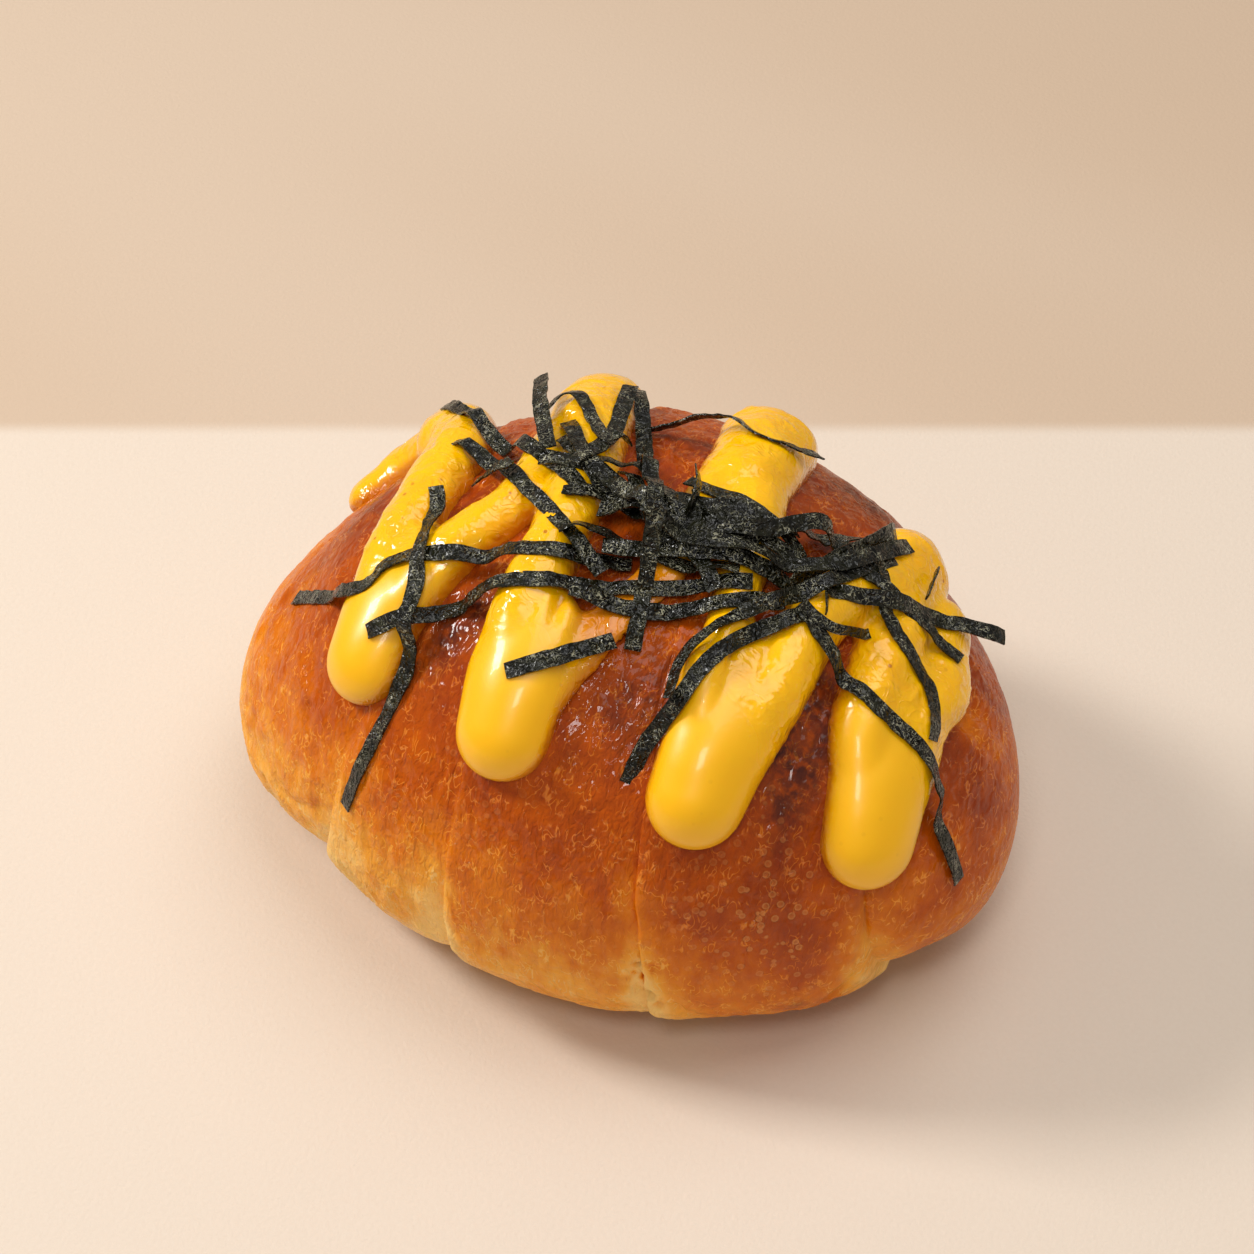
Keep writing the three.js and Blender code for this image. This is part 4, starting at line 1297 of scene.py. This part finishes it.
# ---- the nori ------------------------------------------------------------------------------------
@dataclass
class ReachMap:
    """How far out of the roll's middle the pieces reach in each direction.

    A direction is named by its lean to either end and its turn round the X axis. X is squeezed first, so
    that the roll is nearly a ball.
    """

    shape: RollShape
    step: float = math.radians(0.5)
    lean: float = math.radians(87)
    turns: tuple[float, float] = (math.radians(-36), math.radians(216))
    last_cell: float = 1.001
    reach: Array = field(init=False)

    def __post_init__(self) -> None:
        """Starts with a map of zeros."""
        self.squeeze = self.shape.half_width / self.shape.half_length
        rows = round(2 * self.lean / self.step) + 1
        columns = round((self.turns[1] - self.turns[0]) / self.step) + 1
        self.reach = np.zeros((rows, columns))

    def polar(self, points: Array) -> tuple[Array, Array, Array]:
        """Reach, row and column of each point, the last two as broken numbers."""
        x, y, z = points[..., 0] * self.squeeze, points[..., 1], points[..., 2] - self.shape.axis_height
        reach = np.sqrt(x * x + y * y + z * z)
        turn = np.arctan2(z, y)
        turn = np.where(turn < -math.pi / 2, turn + 2 * math.pi, turn)
        row = (np.arcsin(np.clip(x / reach, -1, 1)) + self.lean) / self.step
        return reach, row, (turn - self.turns[0]) / self.step

    def raise_by(self, points: Array) -> None:
        """Raises the map to hold these points."""
        reach, row, column = self.polar(points.reshape(-1, 3))
        row, column = np.rint(row).astype(int), np.rint(column).astype(int)
        rows, columns = self.reach.shape
        inside = (row >= 0) & (row < rows) & (column >= 0) & (column < columns)
        np.maximum.at(self.reach, (row[inside], column[inside]), reach[inside])

    def fill_gaps(self) -> None:
        """Gives each empty cell the mean of its filled neighbours, until none is empty."""
        while not self.reach.all():
            padded = np.pad(self.reach, 1, mode="edge")
            rows, columns = self.reach.shape
            near = [padded[i : i + rows, j : j + columns] for i, j in np.ndindex(3, 3)]
            filled = np.sum([n > 0 for n in near], axis=0)
            mean = np.sum(near, axis=0) / np.maximum(filled, 1)
            self.reach = np.where(self.reach > 0, self.reach, mean)

    def towards(self, points: Array) -> Array:
        """The map's reach in the direction of each point, blended from four cells.

        Args:
            points: places, any shape ending in 3; one beyond the map reads its last cell.

        Returns:
            One reach for each point.
        """
        _, row, column = self.polar(points)
        rows, columns = self.reach.shape
        row = np.clip(row, 0, rows - self.last_cell)
        column = np.clip(column, 0, columns - self.last_cell)
        i, j = row.astype(int), column.astype(int)
        s, t = row - i, column - j
        low = self.reach[i, j] * (1 - t) + self.reach[i, j + 1] * t
        high = self.reach[i + 1, j] * (1 - t) + self.reach[i + 1, j + 1] * t
        return low * (1 - s) + high * s

    def at(self, points: Array, reach: Array) -> Array:
        """The points moved straight in or out to that reach."""
        middle = np.array([0, 0, self.shape.axis_height])
        return middle + (points - middle) * (reach / self.polar(points)[0])[..., None]


class Lie(Enum):
    """How a shred lies across what is under it, as the lean of its width in degrees."""

    FLAT = 0.0
    TIPPED = 32.0
    TIPPED_BACK = -32.0
    ON_EDGE = 58.0


@dataclass(frozen=True)
class Shred:
    """A cut shred of nori: the stops of its route, each x, y, z and lift, its width and how it lies."""

    stops: tuple[tuple[float, float, float, float], ...]
    width: float = 2.4
    lie: Lie = Lie.FLAT
    twist: float = 9.0
    bend: float = 12.0


@dataclass
class NoriShreds:
    """The heap of shredded nori: every shred laid in turn over the bread, cream and shreds before it."""

    ground: ReachMap
    finish: NoriFinish = field(default_factory=NoriFinish)
    thickness: float = 0.26
    bite: float = 0.08
    lay_step: float = 0.9
    grid_step: float = 0.5
    fewest_rows: int = 3
    across: int = 6
    steepest: float = 0.35
    tip_lift: float = 0.75
    fall_lift: float = 1.1
    settle_rows: int = 1
    slope_rows: int = 2
    twists: Ripple = Ripple(1.0, 1.0, 155)
    twist_length: float = 26.0
    crinkle: Ripple = Ripple(0.2, (1.5, 1.1, 1.0), 161, 2)
    sway: Ripple = Ripple(0.3, 5.0, 171)
    sway_stretch: tuple[float, float, float] = (1.0, 0.35, 1.0)
    ragged: Ripple = Ripple(0.1, (1.2, 4.0, 1.0), 181)
    widths: Ripple = Ripple(0.06, 2.5, 191)
    middle_line: tuple[float, float, float] = (1.0, 0.0, 1.0)
    lane_step: float = 7.3
    rim_start: float = 0.45
    crease_degrees: float = 50.0
    heap_twist: float = 20.0
    heap_lies: tuple[Lie, ...] = (
        Lie.FLAT, Lie.FLAT, Lie.FLAT, Lie.TIPPED, Lie.FLAT, Lie.TIPPED_BACK, Lie.FLAT,
    )
    pile_count: int = 3
    pile_middle: tuple[float, float] = (7.0, 0.0)
    pile_turn: float = 10.0
    pile_reach: tuple[float, float] = (24.0, 12.0)
    pile_fan: float = 45.0
    pile_lengths: tuple[float, float] = (20.0, 34.0)
    pile_lift: float = 6.0
    pile_lane: int = 151
    front_lane: int = 300
    heap_lane: int = 310
    first: tuple[Shred, ...] = (
        Shred(((-49, -15, 42, 0), (-33, -24, 60, 0), (-29, -20, 64, 0), (-15, -16, 67, 0), (-3, -14, 71, 0),
               (6, -10, 70, 0))),
        Shred(((-27, -30, 59, 0), (-13, -21, 63, 0), (-1, -18, 70, 0), (12, -12, 70, 0), (24, -6, 72, 0))),
        Shred(((-28.8, -5, 66, 0), (-24.2, -18, 66, 0), (-21, -31, 60, 0), (-22, -38, 45, 0),
               (-25, -42, 34, 0))),
        Shred(((-32, 6, 66, 0), (-23, 3, 64, 0), (-11, -6, 70, 0), (3, -14, 69, 0))),
        Shred(((-23, -2, 64, 0), (-17, -2, 71, 0.5)), 1.8),
        Shred(((-41, 21, 54, 0), (-29, 11, 64, 0), (-17, 4, 69, 0), (-4, -4, 73, 0))),
        Shred(((0, -17, 66, 0), (12, -16, 69, 0), (29, -5, 69, 0))),
        Shred(((-6, 19, 67, 0), (2, 21, 69, 2), (10.4, 20.5, 71, 0), (14.5, 20.8, 70, 0), (17.3, 21.8, 67, 0),
               (18.4, 23.2, 63, 0)), 1.8, Lie.TIPPED),
    )
    inner: tuple[Shred, ...] = (
        Shred(((-5, -12, 73, 0), (0, -8, 68, 0), (12, -8, 71, 0), (22, -6, 74, 0))),
        Shred(((-8, -5, 73, 0), (0, -2, 72, 0), (11, -2, 78, 0), (19, -2, 77, 0), (24, 7, 69, 0))),
        Shred(((-14, 1, 70, 0), (-5, 1, 76, 0), (6, -1, 78, 0), (14, 0, 76, 0))),
        Shred(((-3, 5, 75, 0), (6, -4, 76, 0), (13, -6, 73, 0), (19, -10, 70, 0))),
        Shred(((-7, 2, 77, 0), (1, 3, 74, 0), (13, -3, 74, 0), (21, -5, 75, 0))),
        Shred(((-14, 7, 72, 0), (-4, -1, 75, 0), (3, -3, 74, 0), (14, -5, 71, 0))),
        Shred(((1, -10, 68, 0), (12, -7, 73, 0), (23, -4, 74, 0), (32, -1, 71, 0))),
        Shred(((10, 2, 79, 0), (18, -1, 77, 0), (23, 5, 70, 0), (27, 12, 64, 0), (34, 14, 64, 0))),
        Shred(((-2, -5, 70, 0), (10, -4, 77, 0), (21, 0, 77, 0), (26, 8, 68, 0), (35, 12, 65, 0))),
        Shred(((26, -5, 67, 0), (30, 1, 71, 0), (33, 8, 69, 0), (35, 19, 63, 0.4))),
        Shred(((-15, 11, 70, 0), (-8, 2, 77, 0), (-3, -1, 75, 0), (2, -4, 72, 0), (9, -7, 73, 0))),
    )
    last: tuple[Shred, ...] = (
        Shred(((17, -35, 53, 0), (19, -31, 60, 0), (23, -18, 67, 0), (33, -5, 69, 0))),
        Shred(((19, -27, 64, 0), (19, -19, 67, 0), (25, -9, 69, 0)), 1.9, Lie.TIPPED),
        Shred(((30, -6, 69, 0), (42, -10, 60, 0), (51, -10, 51, 0), (57, -12, 42, 0.3),
               (59.5, -12, 29, 0.4))),
        Shred(((30, -6, 69, 0), (36, -6, 67, 0), (40, -2, 64, 0), (42, 0, 64, 0)), 1.5, Lie.TIPPED_BACK),
        Shred(((36, 10, 64, 0), (42, 2, 62, 0), (47, -1, 55, 0), (52, -8, 52, 0))),
        Shred(((36, 7, 68, 0), (44, 7, 59, 0), (51, 7, 54, 0)), 2.0),
        Shred(((34, -1, 70, 0), (34, -5, 68, 0.6)), 1.8, Lie.ON_EDGE),
        Shred(((41, 17, 59, 0.4), (42, 10, 60, 0.8)), 1.4, Lie.ON_EDGE),
        Shred(((33, -1, 70, 0), (40, 6, 62, 0), (46, 11, 56, 0), (51, 15, 50, 4))),
        Shred(((23, -12, 69, 0), (30, -4, 70, 0), (37, 14, 63, 0))),
        Shred(((5, -7, 72, 0), (20, -4, 76, 0), (32, 3, 71, 0), (37, 18, 61, 0.5))),
        Shred(((8, 6, 76, 1.5), (10, 2, 76, 0.5), (11, -3, 77, 0)), 1.8, Lie.ON_EDGE),
        Shred(((-11, 26, 66, 1), (-6, 18, 68, 0), (2, 3, 73, 0), (8, -9, 72, 0), (11, -21, 64, 0))),
        Shred(((-11, 24, 68, 0.8), (-7, 7, 77, 0), (-8, -1, 74, 0))),
        Shred(((-20, 11, 70, 0), (-16, 16, 69, 0.5), (-7, 7, 77, 0), (-4, 9, 72, 0)), 2.0),
        Shred(((-22, 18, 66, 3), (-18, 10, 69, 1.5), (-13, 2, 71, 0)), bend=90.0),
    )
    front: Shred = Shred(((-3, -33, 65, 0), (3, -28, 66, 0), (9, -22, 67, 0)))

    def pile(self) -> list[Shred]:
        """The pile's hidden shreds: straight, strewn along its middle line in a fan of directions."""
        k = np.arange(self.pile_count)
        still = np.zeros_like(k)
        draws = [scatter(np.stack([k, still + row, still], axis=-1), self.pile_lane) for row in range(4)]
        turn = np.radians(self.pile_turn + self.pile_fan * (draws[0] - 0.5))
        main = math.radians(self.pile_turn)
        along = (draws[1] - 0.5) * self.pile_reach[0]
        aside = (draws[2] - 0.5) * self.pile_reach[1]
        x = self.pile_middle[0] + along * math.cos(main) - aside * math.sin(main)
        y = self.pile_middle[1] + along * math.sin(main) + aside * math.cos(main)
        half = np.interp(draws[3], (0, 1), self.pile_lengths) / 2
        ends = [(x + way * half * np.cos(turn), y + way * half * np.sin(turn)) for way in (-1, 0, 1)]
        heights = [self.ground.shape.height_over(px, py) + self.pile_lift for px, py in ends]
        stops = [[(px[i], py[i], z[i], 0.0) for (px, py), z in zip(ends, heights)] for i in k]
        return [Shred(tuple(rows)) for rows in stops]

    def laid(self, shred: Shred) -> tuple[Array, Array, Array]:
        """Lays a shred on what the map holds.

        Over each place it stands at the highest of what the places near it hold up: the greatest value of
        under - distance^2 / (2 bend). Its width leans with the ground, no more than the steepest lean.

        Args:
            shred: the shred.

        Returns:
            Its middle line, the direction of its width and its outward direction, one row for each step.
        """
        ground = self.ground
        run = smooth_run(np.array(shred.stops, float), self.lay_step, places=3)
        route, lift = run[:, :3], run[:, 3]
        here = ground.at(route, ground.towards(route))
        out = unit(here - np.array([0, 0, ground.shape.axis_height]))
        across = unit(np.cross(np.gradient(here, axis=0), out))
        half = shred.width / 2
        left, right = (ground.towards(here + way * half * across) for way in (-1, 1))
        under = np.maximum(ground.towards(route), (left + right) / 2)
        steps = np.linalg.norm(np.diff(here, axis=0), axis=1)
        travelled = np.concatenate([[0], np.cumsum(steps)])
        apart = (travelled[:, None] - travelled[None]) ** 2
        held = np.max(under[None] - apart / (2 * shred.bend), axis=1)
        still = np.zeros_like(travelled)
        spot = np.stack([travelled / self.twist_length, still + here[0, 0], still], axis=-1)
        lean = np.radians(shred.lie.value + shred.twist * self.twists.at(spot))
        fall = (right - left) / shred.width * np.exp(-lift)
        slope = np.clip(fall, -self.steepest, self.steepest)
        raised = np.abs(np.sin(lean)) * self.tip_lift + np.abs(fall - slope) * self.fall_lift
        stand = blur(raised * half, self.settle_rows)
        centre = blur(ground.at(route, held + lift + stand), self.settle_rows)
        side = unit(across + blur(slope, self.slope_rows)[:, None] * out)
        up = unit(np.cross(side, np.gradient(centre, axis=0)))
        up *= np.sign(np.sum(up * out, axis=1, keepdims=True))
        cos, sin = np.cos(lean)[:, None], np.sin(lean)[:, None]
        return centre, cos * side + sin * up, cos * up - sin * side

    def ribbon(self, shred: Shred, lane: int) -> tuple[Skin, Array]:
        """The crinkled body of one shred, after which the map holds it too.

        At distance s along and u across it stands at centre + side (u + ragged(s)) + up crinkle(s, u),
        with both faces alike and half the thickness apart from the middle.

        Args:
            shred: the shred.
            lane: picks its crinkles.

        Returns:
            A closed skin, and a value for each point that is 1 along its cut edges.
        """
        centre, side, up = self.laid(shred)
        walked = np.concatenate([[0], np.cumsum(np.linalg.norm(np.diff(centre, axis=0), axis=1))])
        count = max(int(walked[-1] / self.grid_step), self.fewest_rows)
        at = np.linspace(0, walked[-1], count)
        centre, side, up = (
            np.stack([np.interp(at, walked, rows[:, axis]) for axis in range(3)], axis=-1)
            for rows in (centre, side, up)
        )
        side, up = unit(side), unit(up)
        u = np.linspace(-0.5, 0.5, self.across)
        spot = np.stack(np.broadcast_arrays(at[:, None], u * shred.width, lane * self.lane_step), axis=-1)
        crinkle = self.crinkle.at(spot) + self.sway.at(spot * self.sway_stretch)
        wider = 1 + self.widths.at(spot[:, :1] * self.middle_line)
        width = shred.width * u * wider + self.ragged.at(spot)
        middle = centre[:, None] + side[:, None] * width[..., None] + up[:, None] * crinkle[..., None]
        top = middle + up[:, None] * self.thickness
        self.ground.raise_by(self.filled(top))
        ring = np.concatenate([top, middle[:, ::-1]], axis=1)
        first, last = ring[:1].mean(axis=1), ring[-1:].mean(axis=1)
        rim = np.broadcast_to(np.abs(u) > self.rim_start, top.shape[:2])
        rims = np.concatenate([rim, rim], axis=1).astype(float)
        return Skin.of_rings(ring, first, last).outward(), np.concatenate([[1.0], rims.ravel(), [1.0]])

    def filled(self, top: Array) -> Array:
        """The shred's upper face with places between its grid's, a little sunk, so the map has no gap."""
        finer = np.concatenate([top, (top[:, 1:] + top[:, :-1]) / 2], axis=1)
        finer = np.concatenate([finer, (finer[1:] + finer[:-1]) / 2], axis=0)
        return finer - self.bite * unit(finer - np.array([0, 0, self.ground.shape.axis_height]))

    def piece(self, name: str, node: str, shreds: list[Shred], lane: int) -> bpy.types.Object:
        """Lays the shreds in turn and joins them as one piece that stands for the node."""
        made = [self.ribbon(shred, lane + k) for k, shred in enumerate(shreds)]
        piece = Skin.joined([skin for skin, _ in made]).to_object(name)
        piece.data.set_sharp_from_angle(angle=math.radians(self.crease_degrees))
        store(piece, "rim", np.concatenate([rim for _, rim in made]))
        piece.data.materials.append(self.finish.material())
        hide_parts(node)
        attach(piece, "root")
        log.info("%s: %d shreds, %d faces", name, len(shreds), len(piece.data.polygons))
        return piece

    def build(self) -> None:
        """Makes the one shred that lies by itself, then the heap, whose middle shreds twist the most."""
        self.piece("nori_front_shred", "nori_strip_front", [self.front], self.front_lane)
        middle = (*self.pile(), *self.inner)
        lies = self.heap_lies * len(middle)
        heaped = [replace(shred, twist=self.heap_twist, lie=lie) for shred, lie in zip(middle, lies)]
        self.piece("nori_shreds", "nori_heap", [*self.first, *heaped, *self.last], self.heap_lane)


# ---- the studio ------------------------------------------------------------------------------------
@dataclass
class SoftLight:
    """A large soft lamp: where it stands from the roll, as seen by the camera, its size and power."""

    name: str
    aside: float
    above: float
    behind: float
    size: float
    power: float
    tint: tuple[float, float, float] = (1.0, 1.0, 1.0)


@dataclass
class Studio:
    """Table top, soft lamps and the camera."""

    table: TableFinish = field(default_factory=TableFinish)
    azimuth: float = 26.0
    elevation: float = 47.0
    distance: float = 526.0
    target: tuple[float, float, float] = (0.0, 0.0, 43.7)
    view_angle: float = 20.0
    table_side: float = 6000.0
    sky: float = 0.34
    sky_tint: Colour = (0.98, 0.94, 0.86, 1.0)
    nearest_seen: float = 10.0
    lamps: tuple[SoftLight, ...] = (
        SoftLight("window", -650, 600, 160, 200, 5.3, (0.98, 0.97, 0.94)),
        SoftLight("ceiling", 200, 900, 100, 700, 4.0),
        SoftLight("front", -90, 760, -480, 160, 1.3),
    )

    def axes(self) -> tuple[Vector, Vector]:
        """The level directions to the camera's right and away from it."""
        angle = math.radians(self.azimuth)
        return Vector((math.cos(angle), math.sin(angle), 0)), Vector((-math.sin(angle), math.cos(angle), 0))

    def add_table(self) -> None:
        """A flat table top under the roll."""
        half = self.table_side / 2
        corners = np.array([[-half, -half, 0], [half, -half, 0], [half, half, 0], [-half, half, 0]])
        top = Skin(corners, np.array([[0, 1, 2, 3]]), np.zeros((0, 3), int)).to_object("table_top")
        top.data.materials.append(self.table.material())

    def add_lamps(self) -> None:
        """The soft lamps, each turned to the roll, and an even pale sky."""
        right, away = self.axes()
        aim = Vector(self.target)
        for lamp in self.lamps:
            data = bpy.data.lights.new(lamp.name, "AREA")
            data.shape = "SQUARE"
            data.size = lamp.size * MM
            data.energy = lamp.power
            data.color = lamp.tint
            holder = bpy.data.objects.new(lamp.name, data)
            place = aim + right * lamp.aside + away * lamp.behind + Vector((0, 0, lamp.above))
            holder.location = place * MM
            holder.rotation_euler = (aim - place).to_track_quat("-Z", "Y").to_euler()
            bpy.context.scene.collection.objects.link(holder)
        world = bpy.data.worlds.new("pale_sky")
        world.use_nodes = True
        background = world.node_tree.nodes["Background"]
        background.inputs["Color"].default_value = self.sky_tint
        background.inputs["Strength"].default_value = self.sky
        bpy.context.scene.world = world

    def add_camera(self) -> None:
        """The camera, at its angle and distance from the target."""
        turn, tilt = math.radians(self.azimuth), math.radians(self.elevation)
        back = Vector((math.sin(turn) * math.cos(tilt), -math.cos(turn) * math.cos(tilt), math.sin(tilt)))
        data = bpy.data.cameras.new("camera")
        data.angle = math.radians(self.view_angle)
        data.clip_start = self.nearest_seen * MM
        camera = bpy.data.objects.new("camera", data)
        camera.location = (Vector(self.target) + back * self.distance) * MM
        camera.rotation_euler = back.to_track_quat("Z", "Y").to_euler()
        bpy.context.scene.collection.objects.link(camera)
        bpy.context.scene.camera = camera

    def build(self) -> None:
        """Table, lamps, camera, and plain colours without a film look."""
        self.add_table()
        self.add_lamps()
        self.add_camera()
        bpy.context.scene.view_settings.view_transform = "Standard"


def ground_map(shape: RollShape, bread: bpy.types.Object, cream: bpy.types.Object) -> ReachMap:
    """The reach of the bread and the cream, on which the nori is laid.

    Args:
        shape: the roll's plain shape.
        bread: the finished bread.
        cream: the finished cream.

    Returns:
        The map, without gaps.
    """
    ground = ReachMap(shape)
    x = np.linspace(-MAP_LENGTH, MAP_LENGTH, MAP_GRID[0]) * shape.half_length
    turn = np.linspace(*ground.turns, MAP_GRID[1])
    across, around = np.meshgrid(x, turn)
    radius = shape.radius(across, around) + shape.relief(across, around)
    ground.raise_by(shape.point(across, around, radius))
    for piece in (bread, cream):
        points = points_of(piece)
        ends = np.empty(2 * len(piece.data.edges), np.int32)
        piece.data.edges.foreach_get("vertices", ends)
        ground.raise_by(points)
        ground.raise_by(points[ends.reshape(-1, 2)].mean(axis=1))
    ground.fill_gaps()
    return ground


def main() -> None:
    """Builds the bread, the cream, the nori and the studio."""
    logging.basicConfig(level=logging.INFO, format="%(name)s: %(message)s")
    shape = RollShape()
    bread = BreadRoll(shape).build()
    cream = CreamZigzag(shape).build()
    NoriShreds(ground_map(shape, bread, cream)).build()
    Studio().build()
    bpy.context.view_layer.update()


if __name__ == "__main__":
    main()
